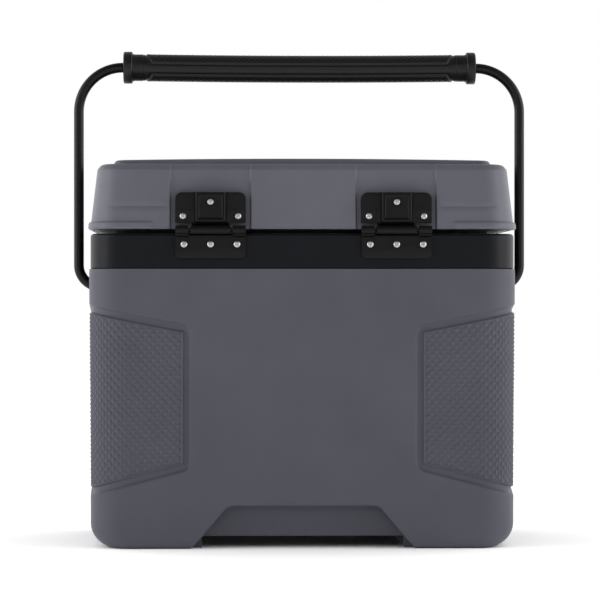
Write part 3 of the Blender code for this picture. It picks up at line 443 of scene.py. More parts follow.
def merge(target: bmesh.types.BMesh, other: bmesh.types.BMesh) -> bmesh.types.BMesh:
    """Adds one bmesh's shape to another and frees it."""
    passing = bpy.data.meshes.new("passing")
    other.to_mesh(passing)
    other.free()
    target.from_mesh(passing)
    bpy.data.meshes.remove(passing)
    return target


def loft_mesh(rings: Sequence[Sequence[Vector]]) -> bmesh.types.BMesh:
    """Bridges closed rings of points in order and closes both ends.

    Args:
        rings: Rings with the same number of points.

    Returns:
        A closed mesh with its normals out.
    """
    bm = bmesh.new()
    previous = None
    for points in rings:
        verts = [bm.verts.new(point) for point in points]
        edges = [bm.edges.new(pair) for pair in zip(verts, verts[1:] + verts[:1])]
        if previous:
            bmesh.ops.bridge_loops(bm, edges=previous + edges)
        previous = edges
    return closed(bm)


def steps(start: float, end: float, count: int) -> list[float]:
    """Returns count values from start, without end."""
    return [start + (end - start) * i / count for i in range(count)]


def smooth_step(value: float) -> float:
    """Returns an S-shaped 0..1 for a value that is cut off at 0 and 1."""
    value = min(max(value, 0.0), 1.0)
    return value * value * (3 - 2 * value)


def show(piece: bpy.types.Object, body: Body, slot: str, *nodes: str) -> bpy.types.Object:
    """Tells the frame what a piece rides on and what it stands for.

    Args:
        piece: The finished piece.
        body: The body that it moves with.
        slot: Not used.
        nodes: The CAD nodes that it replaces.

    Returns:
        The same piece.
    """
    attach(piece, body.value)
    if nodes:
        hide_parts(*nodes)
    LOG.info("%s on %s, %d faces", piece.name, body.value, len(piece.data.polygons))
    return piece


@dataclass(frozen=True)
class Spot:
    """A place on a rounded rectangle's outline.

    Attributes:
        point: The place in plan.
        normal: The outward direction in plan.
        along: Distance along its quarter from the middle of the rear or front.
        signs: Which quarter it is in.
    """

    point: Vector
    normal: Vector
    along: float
    signs: tuple[int, int]


@dataclass(frozen=True)
class Plan:
    """A rounded rectangle seen from above, measured in quarters."""

    half_x: float
    half_y: float
    radius: float

    @property
    def arc_start(self) -> float:
        """Where the corner begins, from the middle of the rear."""
        return self.half_x - self.radius

    @property
    def arc_end(self) -> float:
        """Where the corner ends."""
        return self.arc_start + math.pi / 2 * self.radius

    @property
    def quarter(self) -> float:
        """The length of a quarter, to the middle of the side."""
        return self.arc_end + self.half_y - self.radius

    def at(self, along: float, signs: tuple[int, int]) -> Spot:
        """Finds a place on the outline.

        Args:
            along: Distance from the middle of the rear or front.
            signs: The quarter, as the signs of X and Y.

        Returns:
            The place.
        """
        if along <= self.arc_start:
            point, normal = (along, self.half_y), (0.0, 1.0)
        elif along < self.arc_end:
            angle = math.pi / 2 - (along - self.arc_start) / self.radius
            normal = (math.cos(angle), math.sin(angle))
            arc_y = self.half_y - self.radius
            point = (self.arc_start + self.radius * normal[0], arc_y + self.radius * normal[1])
        else:
            point, normal = (self.half_x, self.half_y - self.radius - (along - self.arc_end)), (1.0, 0.0)
        sx, sy = signs
        place, out = Vector((sx * point[0], sy * point[1])), Vector((sx * normal[0], sy * normal[1]))
        return Spot(place, out, along, signs)

    def spots(self, quarter_steps: Sequence[float]) -> list[Spot]:
        """Goes once round the outline.

        Args:
            quarter_steps: Distances within a quarter, from 0, without its end.

        Returns:
            The places, ending where they began.
        """
        ahead = list(quarter_steps)
        back = [self.quarter] + list(reversed(ahead[1:]))
        found = [self.at(a, (1, 1)) for a in ahead] + [self.at(a, (1, -1)) for a in back]
        found += [self.at(a, (-1, -1)) for a in ahead] + [self.at(a, (-1, 1)) for a in back]
        return found + [found[0]]


def skin(spots: Sequence[Spot], rows: int, place: Callable[[Spot, int], Vector]) -> bmesh.types.BMesh:
    """Wraps a grid round an outline and closes its two ends.

    Args:
        spots: The columns, ending where they begin.
        rows: Number of rows.
        place: Gives a vertex's place from its column and row.

    Returns:
        A closed mesh with its normals out.
    """
    bm = grid_mesh(len(spots) - 1, rows - 1, lambda column, row: place(spots[column], row))
    bmesh.ops.remove_doubles(bm, verts=bm.verts, dist=1e-7)
    return closed(bm)


# The tub


@dataclass
class Tub:
    """The grey outer tub with its framed corner panels, and what is set into it."""

    finishes: Finishes
    corner_radius: float = 0.040
    draft: float = 0.0063
    side_radius: float = 0.025
    face_radius: float = 0.009
    wall: float = 0.003
    panel_reach: float = 0.1063
    groove_width: float = 0.009
    groove_depth: float = 0.003
    groove_corner: float = 0.010
    groove_slope: float = 0.0032
    top_drop: float = 0.036
    top_slope: float = 0.20
    bottom: float = 0.0526
    bottom_slope: float = 0.26
    recess_half_floor: float = 0.115
    recess_half_top: float = 0.077
    recess_height: float = 0.044
    channel_height: float = 0.0121
    plan: Plan = field(init=False)
    height: float = field(init=False)

    def __post_init__(self) -> None:
        """Takes the size from the frame."""
        _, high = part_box("body_shell")
        self.height = high.z
        self.plan = Plan(high.x, high.y, self.corner_radius)

    def edge_heights(self, along: float) -> tuple[float, float]:
        """Finds the frame's lower and upper edge.

        Args:
            along: Distance within the quarter.

        Returns:
            The heights of the lower and the upper edge of the groove.
        """
        near, far = self.panel_span()
        spot = self.plan.at(min(max(along, near), far), (1, 1))
        away = self.plan.half_x - spot.point.x if spot.normal.y > 1e-6 else spot.along - self.plan.arc_end
        return self.bottom + self.bottom_slope * away, self.height - self.top_drop - self.top_slope * away

    def panel_span(self) -> tuple[float, float]:
        """Returns where the groove's upright edges are along the quarter."""
        return self.plan.half_x - self.panel_reach, self.plan.quarter - (self.plan.half_y - self.panel_reach)

    def groove(self, along: float, z: float) -> float:
        """Returns how deep the framed area is sunk at a place."""
        near, far = self.panel_span()
        low, high = self.edge_heights(along)
        across = min(along - near, far - along)
        up = min((high - z) / math.hypot(1, self.top_slope), (z - low) / math.hypot(1, self.bottom_slope))
        radius = self.groove_corner
        inside = radius - math.hypot(max(radius - across, 0.0), max(radius - up, 0.0))
        width = self.groove_slope * (1.6 if across < up else 1.0)
        return self.groove_depth * smooth_step(inside / width)

    def columns(self) -> list[float]:
        """Returns the column distances in a quarter, close together at the upright edges."""
        near, far = self.panel_span()
        pad = 0.014
        spread = steps(0.0, near - 0.004, 14) + steps(near - 0.004, near + pad, 20)
        arc_start, arc_end = self.plan.arc_start, self.plan.arc_end
        spread += steps(near + pad, arc_start, 10) + steps(arc_start, arc_end, 24)
        spread += steps(arc_end, far - pad, 10) + steps(far - pad, far + 0.004, 20)
        return spread + steps(far + 0.004, self.plan.quarter, 8)

    def wall_heights(self, along: float) -> list[float]:
        """Returns the heights of the wall's rows, which follow the slanting edges."""
        low, high = self.edge_heights(along)
        pad = 0.013
        rows = steps(self.side_radius, low - 0.003, 6) + steps(low - 0.003, low + pad, 18)
        rows += steps(low + pad, high - pad, 14) + steps(high - pad, high + 0.003, 18)
        return rows + steps(high + 0.003, self.height - 0.001, 8)

    def inset(self, z: float, radius: float) -> float:
        """Returns how far a bottom edge and the draft pull in at a height."""
        return self.draft * (self.height - z) + radius - math.sqrt(radius**2 - max(radius - z, 0.0) ** 2)

    def place(self, spot: Spot, row: int) -> Vector:
        """Gives the place of one vertex of the tub.

        Args:
            spot: The column.
            row: The row, from the base's middle up the wall and down inside it.

        Returns:
            The vertex.
        """
        turn_rows = 9
        walls = self.wall_heights(spot.along)
        if row < turn_rows:
            angle = math.radians(90 * row / turn_rows)
            z = self.side_radius * (1 - math.cos(angle))
            side, face, deeper = self.inset(z, self.side_radius), self.inset(z, self.face_radius), 0.0
        elif row < turn_rows + len(walls):
            z = walls[row - turn_rows]
            side = face = self.draft * (self.height - z)
            face = self.inset(z, self.face_radius)
            deeper = self.groove(spot.along, z)
        else:
            inner = row - turn_rows - len(walls)
            z = (self.height - 0.0003, self.height, self.height, 0.049)[inner]
            deeper = (0.0003, 0.001, self.wall, self.wall + 0.004)[inner]
            side = face = 0.0
        nx, ny = spot.normal
        return Vector((spot.point.x - nx * (side + deeper), spot.point.y - ny * (face + deeper), z))

    def recess_cutter(self, name: str, end: int) -> bpy.types.Object:
        """Makes the solid that opens the base's recess at one end.

        Args:
            name: Name of the solid.
            end: 1 for the rear, -1 for the front.

        Returns:
            The cutter, flared where it leaves the wall.
        """
        low_half, high_half, top = self.recess_half_floor, self.recess_half_top, self.recess_height
        outline = bmesh.new()
        floor_half, below = low_half + 0.0033, -0.004
        corners = ((-floor_half, below), (floor_half, below), (high_half, top), (-high_half, top))
        verts = [outline.verts.new((x, 0, z)) for x, z in corners]
        outline.faces.new(verts)
        bmesh.ops.bevel(
            outline, geom=verts[2:], offset=0.006, segments=6, profile=0.5, affect="VERTICES", material=-1
        )
        outline.faces.ensure_lookup_table()
        points = [vert.co.copy() for vert in outline.faces[0].verts]
        outline.free()
        wall = self.plan.half_y - self.draft * self.height
        rings = []
        flare = ((-0.0195, 0.0), (-0.0018, 0.0), (-0.0008, 0.0004), (0.0002, 0.0014), (0.02, 0.0026))
        for depth, grow in flare:
            ring = []
            for point in points:
                sideways = math.copysign(grow, point.x)
                z = point.z + (grow if point.z > 0 else 0)
                ring.append(Vector((point.x + sideways, end * (wall + depth), z)))
            rings.append(ring)
        return to_object(name, loft_mesh(rings), self.finishes.shell)

    def build_shell(self) -> bpy.types.Object:
        """Builds the outer tub.

        Returns:
            The tub with its base channel, recesses, bail holes and drain pocket.
        """
        spots = self.plan.spots(self.columns())
        rows = 9 + len(self.wall_heights(0.0)) + 4
        shell = to_object("cooler_tub", skin(spots, rows, self.place), self.finishes.shell)
        reach = self.plan.half_y + 0.02
        channel = box_mesh((-0.104, -reach, -0.01), (0.104, reach, self.channel_height))
        soften(channel, 0.002, 2, edges_along(channel, 1, lambda middle: middle.z > 0))
        cutters = [to_object("channel", channel, self.finishes.shell)]
        cutters += [self.recess_cutter("recess_rear", 1), self.recess_cutter("recess_front", -1)]
        pivot = middle_of("bail_cup_left")
        for name, side in SIDES:
            start = Vector((side * (self.plan.half_x - 0.03), 0, pivot.z))
            hole = rod_mesh(0.0123, start, start + Vector((side * 0.05, 0, 0)))
            cutters.append(to_object(f"cup_hole_{name}", hole, self.finishes.shell))
        spout_low, spout_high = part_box("drain_spout")
        drain_z = (spout_low.z + spout_high.z) / 2
        floor_x = spout_high.x - 0.0023
        start = Vector((floor_x, 0, drain_z))
        boss_end = Vector((self.plan.half_x - 0.0055, 0, drain_z))
        boss = rod_mesh(0.0235, start - Vector((0.003, 0, 0)), boss_end, 48)
        carve(shell, [to_object("drain_boss", boss, self.finishes.shell)], Cut.ADD)
        pocket = [(0.0, 0.0), (0.0185, 0.0), (0.020, 0.0015), (0.020, 0.0112)]
        pocket += [(0.0212, 0.0124), (0.0215, 0.03), (0.0, 0.03)]
        sunk = turned_mesh(pocket, start, Vector((1, 0, 0)))
        cutters.append(to_object("drain_pocket", sunk, self.finishes.shell))
        bore = rod_mesh(0.0088, start - Vector((0.03, 0, 0)), start + Vector((0.001, 0, 0)))
        cutters.append(to_object("drain_bore", bore, self.finishes.shell))
        carve(shell, cutters)
        return show(shell, Body.TUB, "shell", "body_shell")

    def build_panel(self, name: str, signs: tuple[int, int]) -> bpy.types.Object:
        """Builds one raised corner panel with its field of small pyramids.

        Args:
            name: Name of the piece.
            signs: The quarter that it is in.

        Returns:
            The panel, wrapped round the tub's corner.
        """
        pitch, relief, frame_width = 0.0042, 0.00135, 0.0022
        near, far = self.panel_span()
        near, far = near + self.groove_width, far - self.groove_width
        low = self.bottom + self.groove_width
        high = self.height - self.top_drop - self.groove_width
        peak = self.plan.arc_end
        bm = bmesh.new()
        columns = math.ceil((far - near) / pitch / 2) * 2 + 4
        rows = math.ceil((high - low) / pitch / 2) * 2 + 4
        bmesh.ops.create_grid(bm, x_segments=columns, y_segments=rows, size=0.5)
        middle = Vector(((near + far) / 2, (low + high) / 2))
        parity = {}
        for vert in bm.verts:
            column, row = round((vert.co.x + 0.5) * columns), round((vert.co.y + 0.5) * rows)
            parity[vert] = (column + row) % 2
            across, up = (column - columns / 2) * pitch, (row - rows / 2) * pitch
            vert.co = (middle.x + across, middle.y + up, -relief * parity[vert])
        for face in list(bm.faces):
            ends = [vert for vert in face.verts if parity[vert]]
            bmesh.utils.face_split(face, ends[0], ends[1])
        rise_low, rise_high = self.bottom_slope, self.top_slope
        lines = [(Vector((near, low)), Vector((-1.0, 0.0))), (Vector((far, low)), Vector((1.0, 0.0)))]
        arc_slope = self.plan.half_x - self.plan.at(near, (1, 1)).point.x
        run = peak - near
        for side, share in ((-1, arc_slope / run), (1, 1.0)):
            lines.append((Vector((peak, high)), Vector((side * rise_high * share, 1.0)).normalized()))
            lines.append((Vector((peak, low)), Vector((side * rise_low * share, -1.0)).normalized()))
        for point, out in lines:
            bmesh.ops.bisect_plane(
                bm,
                geom=bm.verts[:] + bm.edges[:] + bm.faces[:],
                dist=1e-7,
                plane_co=Vector((*(point - out * frame_width), 0)),
                plane_no=Vector((*out, 0)),
                clear_outer=True,
            )
        for offset, depth in ((0.0009, 0.00015), (0.0010, 0.0009), (0.0012, self.groove_depth + 0.0006)):
            moved = bmesh.ops.extrude_edge_only(bm, edges=open_edges(bm))["geom"]
            for vert in (item for item in moved if isinstance(item, bmesh.types.BMVert)):
                push = self.outward(vert.co, lines, frame_width)
                vert.co.x += push.x * offset
                vert.co.y += push.y * offset
                vert.co.z = -depth
            frame_width -= offset
        bmesh.ops.holes_fill(bm, edges=open_edges(bm), sides=0)
        for vert in bm.verts:
            along = vert.co.x
            spot = self.plan.at(along, signs)
            straight = max(0.0, peak - along) * arc_slope / run if along < peak else along - peak
            true_low, true_high = self.edge_heights(along)
            fault_low = true_low - self.bottom - rise_low * straight
            fault_high = true_high - (self.height - self.top_drop) + rise_high * straight
            share = min(max((vert.co.y - low) / (high - low), 0.0), 1.0)
            z = vert.co.y + fault_low * (1 - share) + fault_high * share
            out = vert.co.z - self.draft * (self.height - z)
            vert.co = (spot.point.x + spot.normal.x * out, spot.point.y + spot.normal.y * out, z)
        bmesh.ops.recalc_face_normals(bm, faces=bm.faces)
        panel = to_object(name, bm, self.finishes.shell, 12.0)
        return show(panel, Body.TUB, "shell")

    @staticmethod
    def outward(point: Vector, lines: Sequence[tuple[Vector, Vector]], inset: float) -> Vector:
        """Finds the way out from a point on an inset outline.

        Args:
            point: A point on the outline.
            lines: Each edge's point and outward normal.
            inset: How far inside the edges the outline lies.

        Returns:
            The direction that moves both edges of a corner out alike.
        """
        flat = Vector((point.x, point.y))
        near = sorted(lines, key=lambda line: abs((flat - line[0]).dot(line[1]) + inset))
        first = near[0][1]
        if abs((flat - near[1][0]).dot(near[1][1]) + inset) > 2e-5 or first.dot(near[1][1]) > 0.999:
            return first
        both = first + near[1][1]
        return both / both.dot(first)

    def build(self) -> None:
        """Builds the tub and its four corner panels."""
        self.build_shell()
        for end_name, sy in (("front", -1), ("rear", 1)):
            for side_name, sx in SIDES:
                self.build_panel(f"corner_panel_{end_name}_{side_name}", (sx, sy))


@dataclass
class Collar:
    """The black rim between the tub and the lid."""

    finishes: Finishes
    corner_radius: float = 0.0385
    edge: float = 0.0035
    mouth_lap: float = 0.0025
    mouth_radius: float = 0.026

    def build(self) -> bpy.types.Object:
        """Builds the collar.

        Returns:
            The collar, a ring with a deck round the chamber's mouth.
        """
        low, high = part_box("body_collar")
        shell_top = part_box("body_shell")[1].z
        plan = Plan(high.x, high.y, self.corner_radius)
        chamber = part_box("body_liner")[1]
        mouth = Plan(chamber.x - self.mouth_lap, chamber.y - self.mouth_lap, self.mouth_radius)
        foot = shell_top + 0.0003
        outer = [(0.006, foot - 0.004), (0.0045, foot), (0.0006, foot), (0.0, foot + 0.0006)]
        outer += [(0.0, z) for z in steps(foot + 0.004, high.z - self.edge, 5)]
        for step in range(8):
            angle = math.radians(90 * step / 7)
            outer.append((self.edge * (1 - math.cos(angle)), high.z - self.edge * (1 - math.sin(angle))))
        inner = [(0.0012, high.z), (0.0004, high.z - 0.0003), (0.0, high.z - 0.0012), (0.0, high.z - 0.003)]
        inner += [(-0.004, high.z - 0.0032)]
        quarter = steps(0, plan.arc_start, 10) + steps(plan.arc_start, plan.arc_end, 20)
        quarter += steps(plan.arc_end, plan.quarter, 8)

        def place(spot: Spot, row: int) -> Vector:
            """Gives a vertex of the outer wall, then of the mouth."""
            if row < len(outer):
                pull, z = outer[row]
                return Vector((*(spot.point - spot.normal * pull), z))
            there = mouth.at(self.matched(plan, mouth, spot.along), spot.signs)
            pull, z = inner[row - len(outer)]
            return Vector((*(there.point + there.normal * pull), z))

        spots = plan.spots(quarter)
        rows = len(outer) + len(inner) - 1
        bm = grid_mesh(len(spots) - 1, rows, lambda column, row: place(spots[column], row))
        bmesh.ops.remove_doubles(bm, verts=bm.verts, dist=1e-7)
        bmesh.ops.bridge_loops(bm, edges=open_edges(bm))
        bmesh.ops.recalc_face_normals(bm, faces=bm.faces)
        return show(to_object("rim_collar", bm, self.finishes.collar), Body.TUB, "collar", "body_collar")

    @staticmethod
    def matched(plan: Plan, other: Plan, along: float) -> float:
        """Returns the distance on another outline that matches one on this outline."""
        if along <= plan.arc_start:
            return along * other.arc_start / plan.arc_start
        if along < plan.arc_end:
            return other.arc_start + (along - plan.arc_start) * other.radius / plan.radius
        share = (along - plan.arc_end) / (plan.quarter - plan.arc_end)
        return other.arc_end + share * (other.quarter - other.arc_end)


# The lid


@dataclass
class Lid:
    """The grey lid cover with its bays, shoulder, raised top and lifting lip."""

    finishes: Finishes
    corner_radius: float = 0.038
    slope: float = 0.12
    band_height: float = 0.0071
    band_turn: float = math.radians(48.0)
    band_run: float = 0.0050
    crease_radius: float = 0.0035
    brow_radius: float = 0.006
    side_round: float = 0.0092
    top_inset: float = 0.0172
    top_round: float = 0.0040
    top_rise: float = 0.0053
    crown: float = 0.0017
    lip_reach: float = 0.0024
    lip_height: float = 0.008
    lip_end: float = 0.154
    bay_near: float = 0.054
    bay_far: float = 0.136
    bay_depth: float = 0.0032
    bay_slope: float = 0.0018
    rear_bay_depth: float = 0.0046
    least_bay_depth: float = 0.0014
    leaf_top: float = 0.030
    line_height: float = 0.0232
    line_near: float = 0.1385
    line_far: float = 0.205

    def __post_init__(self) -> None:
        """Takes the size from the frame."""
        low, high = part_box("lid_shell")
        self.low, self.high = low.z, high.z
        self.plan = Plan(high.x - self.lip_reach, high.y - self.lip_reach, self.corner_radius)

    def bay(self, spot: Spot, height: float) -> float:
        """Returns how deep a bay is sunk at a place; the rear bays' floors stand upright above the leaf."""
        inside = min(spot.along - self.bay_near, self.bay_far - spot.along)
        deep = self.bay_depth
        if spot.signs[1] > 0:
            deep = self.rear_bay_depth - self.slope * max(height - self.leaf_top, 0.0)
        return max(deep, self.least_bay_depth) * smooth_step(inside / self.bay_slope + 0.5)

    def line(self, along: float, height: float) -> float:
        """Returns how deep the fine moulding line is at a place."""
        inside = min(along - self.line_near, self.line_far - along)
        return 0.00035 * smooth_step(inside / 0.004) * max(0.0, 1 - abs(height - self.line_height) / 0.0004)

    def lip(self, along: float, height: float) -> float:
        """Returns how far the lifting lip stands out at a distance and a height above the foot."""
        ahead = min(max((along - self.lip_end) / 0.012, 0.0), 1.0)
        reach = self.lip_reach * math.sqrt(1 - (1 - ahead) ** 2)
        low_round = min(max(height / 0.002, 0.0), 1.0)
        high_round = min(max((self.lip_height - height) / 0.0025, 0.0), 1.0)
        return reach * math.sqrt(max(0.0, 1 - (1 - min(low_round, high_round)) ** 2))

    def rows(self) -> list[tuple[float, float, float, float]]:
        """Lists the rows from inside the foot to the middle of the top.

        Returns:
            Each row's inset, height, share of the bay's depth and scale towards the middle.
        """
        shoulder = self.high - self.top_rise
        turn = shoulder - self.band_height
        inside = ((0.0075, 0.010), (0.0033, 0.0012), (0.0026, 0.0), (0.0008, 0.0))
        made = [(inset, self.low + up, 1.0, 1.0) for inset, up in inside]
        heights = (0.0004, 0.001, 0.002, 0.004, 0.0055, 0.0062, 0.0069, 0.0075, 0.008, 0.0085, 0.011)
        made += [(self.slope * height, self.low + height, 1.0, 1.0) for height in heights]
        line = self.low + self.line_height
        walls = [self.low + 0.017, line - 0.0005, line, line + 0.0005] + steps(self.low + 0.030, turn, 5)
        made += [(self.slope * (z - self.low), z, 1.0, 1.0) for z in walls]
        base = self.slope * (turn - self.low)
        lean = math.atan(self.slope)
        pull, z, last = base, turn, lean
        turns = ((self.crease_radius, self.band_turn, 4), (self.brow_radius, math.pi / 2, 6))
        for radius, end, count in turns:
            for angle in steps(last, end, count) + [end]:
                out, up = math.cos(last) - math.cos(angle), math.sin(angle) - math.sin(last)
                made.append((pull + radius * out, min(z + radius * up, shoulder), 1.0, 1.0))
            pull = made[-1][0] + self.band_run * math.sin(end)
            z = made[-1][1] + self.band_run * math.cos(end)
            last = end
        flat = base + self.top_inset
        made += [(flat - 0.004, shoulder, 0.7, 1.0), (flat - 0.0008, shoulder - 0.0003, 0.0, 1.0)]
        for step in range(5):
            angle = math.radians(90 * step / 4)
            inset = flat + self.top_round * (1 - math.cos(angle)) + 0.0002
            made.append((inset, shoulder + self.top_rise * math.sin(angle), 0.0, 1.0))
        rim = flat + self.top_round + 0.0002
        made += [(rim, self.high, 0.0, scale) for scale in (0.97, 0.85, 0.6, 0.3, 0.02)]
        return made

    def rounded_pull(self, height: float) -> float:
        """Returns the sides' rounder shoulder: how far it is pulled in at a height below the shoulder."""
        base = self.slope * (self.high - self.top_rise - self.band_height - self.low)
        span = min(max(1 - height / self.band_height, 0.0), 1.0)
        ease = self.slope * self.band_height * span * (1 - span)
        return base + self.side_round * (1 - math.sqrt(1 - span**2)) + ease

    def build(self) -> bpy.types.Object:
        """Builds the cover.

        Returns:
            The lid's outer cover.
        """
        rows = self.rows()
        plan = self.plan
        pad = 0.004
        near, far, lip = self.bay_near, self.bay_far, self.lip_end
        ends = (0, near - pad, near + pad, far - pad, far + pad, lip - 0.001, lip + 0.014)
        ends += (plan.arc_start, plan.arc_end, plan.quarter)
        quarter = []
        for start, end, count in zip(ends, ends[1:], (8, 10, 10, 10, 4, 14, 3, 24, 10)):
            quarter += steps(start, end, count)

        def place(spot: Spot, row: int) -> Vector:
            """Gives one vertex of the cover."""
            pull, z, share, scale = rows[row]
            pull += share * self.bay(spot, z - self.low) + self.line(spot.along, z - self.low)
            if row > 2:
                pull -= self.lip(spot.along, z - self.low)
            height = self.high - self.top_rise - z
            if 0 <= height < self.band_height and row < len(rows) - 12:
                round_pull = self.rounded_pull(height)
                pull += (round_pull - rows[row][0]) * smooth_step((abs(spot.normal.x) - 0.3) / 0.6)
            flat = (spot.point - spot.normal * pull) * scale
            raised = smooth_step((z - self.high + self.top_rise) / self.top_rise)
            z += raised * (self.crown * max(0.0, 1 - (flat.x / 0.19) ** 2) - 0.0011)
            return Vector((*flat, z))

        cover = to_object("lid_cover", skin(plan.spots(quarter), len(rows), place), self.finishes.lid, 50.0)
        return show(cover, Body.LID, "lid", "lid_shell")


# Screws


@dataclass
class Screws:
    """Pan-head screws with a cross recess, one in each place that the frame has one."""

    finishes: Finishes
    head_radius: float = 0.0034
    head_height: float = 0.0022
    slot_size: tuple[float, float] = (0.0024, 0.0007)
    slot_depth: float = 0.0015

    def master(self) -> bpy.types.Object:
        """Makes one screw that points along +Z from its seat at the origin."""
        flat, brim = 0.0005, 0.0008
        dome = [(0.0, -0.004), (0.0018, -0.004), (0.0018, 0.0)]
        dome += [(self.head_radius - 0.0002, 0.0), (self.head_radius, 0.0003)]
        for step in range(7):
            angle = math.radians(90 * step / 6)
            out, up = (self.head_radius - flat) * math.cos(angle), (self.head_height - brim) * math.sin(angle)
            dome.append((flat + out, brim + up))
        dome.append((0.0, self.head_height))
        turned = turned_mesh(dome, Vector(), Vector((0, 0, 1)), 32)
        screw = to_object("screw_master", turned, self.finishes.steel)
        cutters = []
        for turn in (0.0, math.pi / 2):
            half_long, half_wide = self.slot_size
            low = (-half_long, -half_wide, self.head_height - self.slot_depth)
            slot = box_mesh(low, (half_long, half_wide, 0.01))
            bmesh.ops.rotate(slot, verts=slot.verts, matrix=Matrix.Rotation(turn, 3, "Z"))
            cutters.append(to_object(f"slot_{turn:.0f}", slot, self.finishes.steel))
        carve(screw, cutters)
        return screw

    def build(self) -> None:
        """Puts a screw on every screw node of the frame."""
        master = self.master()
        spins = 0.35
        for name in sorted(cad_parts):
            if "screw" not in name:
                continue
            low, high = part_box(name)
            end = 1 if (low.y + high.y) > 0 else -1
            front = high.y if end > 0 else low.y
            seat = Vector(((low.x + high.x) / 2, front - end * self.head_height, (low.z + high.z) / 2))
            spins += 0.61
            mesh = master.data.copy()
            turn = Vector((0, 0, 1)).rotation_difference(Vector((0, end, 0))).to_matrix().to_4x4()
            mesh.transform(Matrix.Translation(seat) @ turn @ Matrix.Rotation(spins, 4, "Z"))
            body = Body.LID if "upper" in name or "bracket" in name else Body.TUB
            show(linked(f"cross_{name}", mesh), body, "steel", name)
        bpy.data.objects.remove(master, do_unlink=True)


# Hinges


@dataclass
class Hinge:
    """One black hinge: the leaf on the collar and the leaf on the lid."""

    finishes: Finishes
    side: str
    knuckle: float = 0.0045
    knuckle_round: float = 0.0004
    barrel_half: float = 0.0219
    counterbore: float = 0.0044
    boss_half: float = 0.020
    boss_share: float = 0.745

    def barrel(self, left: float, right: float, y: float, z: float) -> bmesh.types.BMesh:
        """Makes a knuckle between two places on the hinge's axis."""
        made = rod_mesh(self.knuckle, Vector((left, y, z)), Vector((right, y, z)), 32)
        return soften(made, self.knuckle_round, 2, creases(made, 1.0))

    def build_lower(self) -> bpy.types.Object:
        """Builds the leaf on the collar.

        Returns:
            The leaf with its two knuckles.
        """
        node = f"hinge_lower_leaf_{self.side}"
        low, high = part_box(node)
        axis_z = high.z - self.knuckle
        axis_y = high.y - self.knuckle
        top = axis_z - 0.0055
        front = low.y + 0.005
        plate = box_mesh(low, (high.x, front, top))
        soften(plate, 0.005, 6, edges_along(plate, 1, lambda middle: middle.z < top - 0.01))
        soften(plate, 0.0006, 2, creases(plate, 0.6))
        for left, right in ((low.x, low.x + 0.0135), (high.x - 0.0135, high.x)):
            barrel = self.barrel(left, right, axis_y, axis_z)
            web = box_mesh((left, low.y + 0.0016, top - 0.002), (right, front, axis_z))
            soften(web, 0.0004, 2)
            merge(merge(plate, barrel), web)
        leaf = to_object(f"collar_leaf_{self.side}", plate, self.finishes.nylon)
        return show(leaf, Body.TUB, "hardware", node)

    def build_upper(self) -> bpy.types.Object:
        """Builds the leaf on the lid.

        Returns:
            The leaf with its wings, boss, sunk face and middle knuckle.
        """
        node = f"hinge_upper_leaf_{self.side}"
        low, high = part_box(node)
        middle = (low.x + high.x) / 2
        lower_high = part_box(f"hinge_lower_leaf_{self.side}")[1]
        axis_y, axis_z = lower_high.y - self.knuckle, lower_high.z - self.knuckle
        foot = axis_z + 0.0072
        wall = axis_y - self.knuckle - 0.0012
        seat, wing_front, boss_front = wall + 0.0016, wall + 0.0028, wall + 0.0092
        back = low.y - 0.001
        wings = box_mesh((low.x, back, foot), (high.x, wing_front, high.z))
        soften(wings, 0.007, 8, edges_along(wings, 1, lambda spot: spot.z > high.z - 0.01))
        soften(wings, 0.0007, 2, creases(wings, 0.6))
        low_corner = (middle - self.boss_half, back, axis_z + 0.0025)
        boss = box_mesh(low_corner, (middle + self.boss_half, boss_front, high.z))
        for vert in boss.verts:
            if vert.co.y > wing_front:
                vert.co.x = middle + (vert.co.x - middle) * self.boss_share
                vert.co.z = max(vert.co.z, axis_z + 0.0085)
        face = max(boss.faces, key=lambda item: item.calc_center_median().y)
        bmesh.ops.inset_region(boss, faces=[face], thickness=0.0037, depth=0.0)
        bmesh.ops.inset_region(boss, faces=[face], thickness=0.0003, depth=-0.0006)
        soften(boss, 0.0014, 3, creases(boss, 0.5, 1.54))
        barrel = self.barrel(middle - self.barrel_half, middle + self.barrel_half, axis_y, axis_z)
        leaf = to_object(f"lid_leaf_{self.side}", wings, self.finishes.nylon)
        added = (("boss", boss), ("barrel", barrel))
        carve(leaf, [to_object(name, mesh, self.finishes.nylon) for name, mesh in added], Cut.ADD)
        cutters = []
        for tag in (1, 3):
            screw_low, screw_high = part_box(f"hinge_upper_screw_{self.side}_{tag}")
            x, z = (screw_low.x + screw_high.x) / 2, (screw_low.z + screw_high.z) / 2
            reach, near = (middle + math.copysign(away, x - middle) for away in (0.040, 0.0205))
            outer, inner = sorted((reach, near))
            sink = box_mesh((outer, seat, foot - 0.01), (inner, wing_front + 0.01, z + 0.0058))
            cutters.append(to_object(f"sink_{tag}", soften(sink, 0.0008, 2), self.finishes.nylon))
        screw_low, screw_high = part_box(f"hinge_upper_screw_{self.side}_2")
        x, z = (screw_low.x + screw_high.x) / 2, (screw_low.z + screw_high.z) / 2
        seat_y = screw_high.y - Screws.head_height
        bore = rod_mesh(self.counterbore, Vector((x, seat_y, z)), Vector((x, boss_front + 0.01, z)), 32)
        cutters.append(to_object("counterbore", bore, self.finishes.nylon))
        carve(leaf, cutters)
        return show(leaf, Body.LID, "hardware", node)

    def build(self) -> None:
        """Builds both leaves."""
        self.build_lower()
        self.build_upper()


# The bail handle


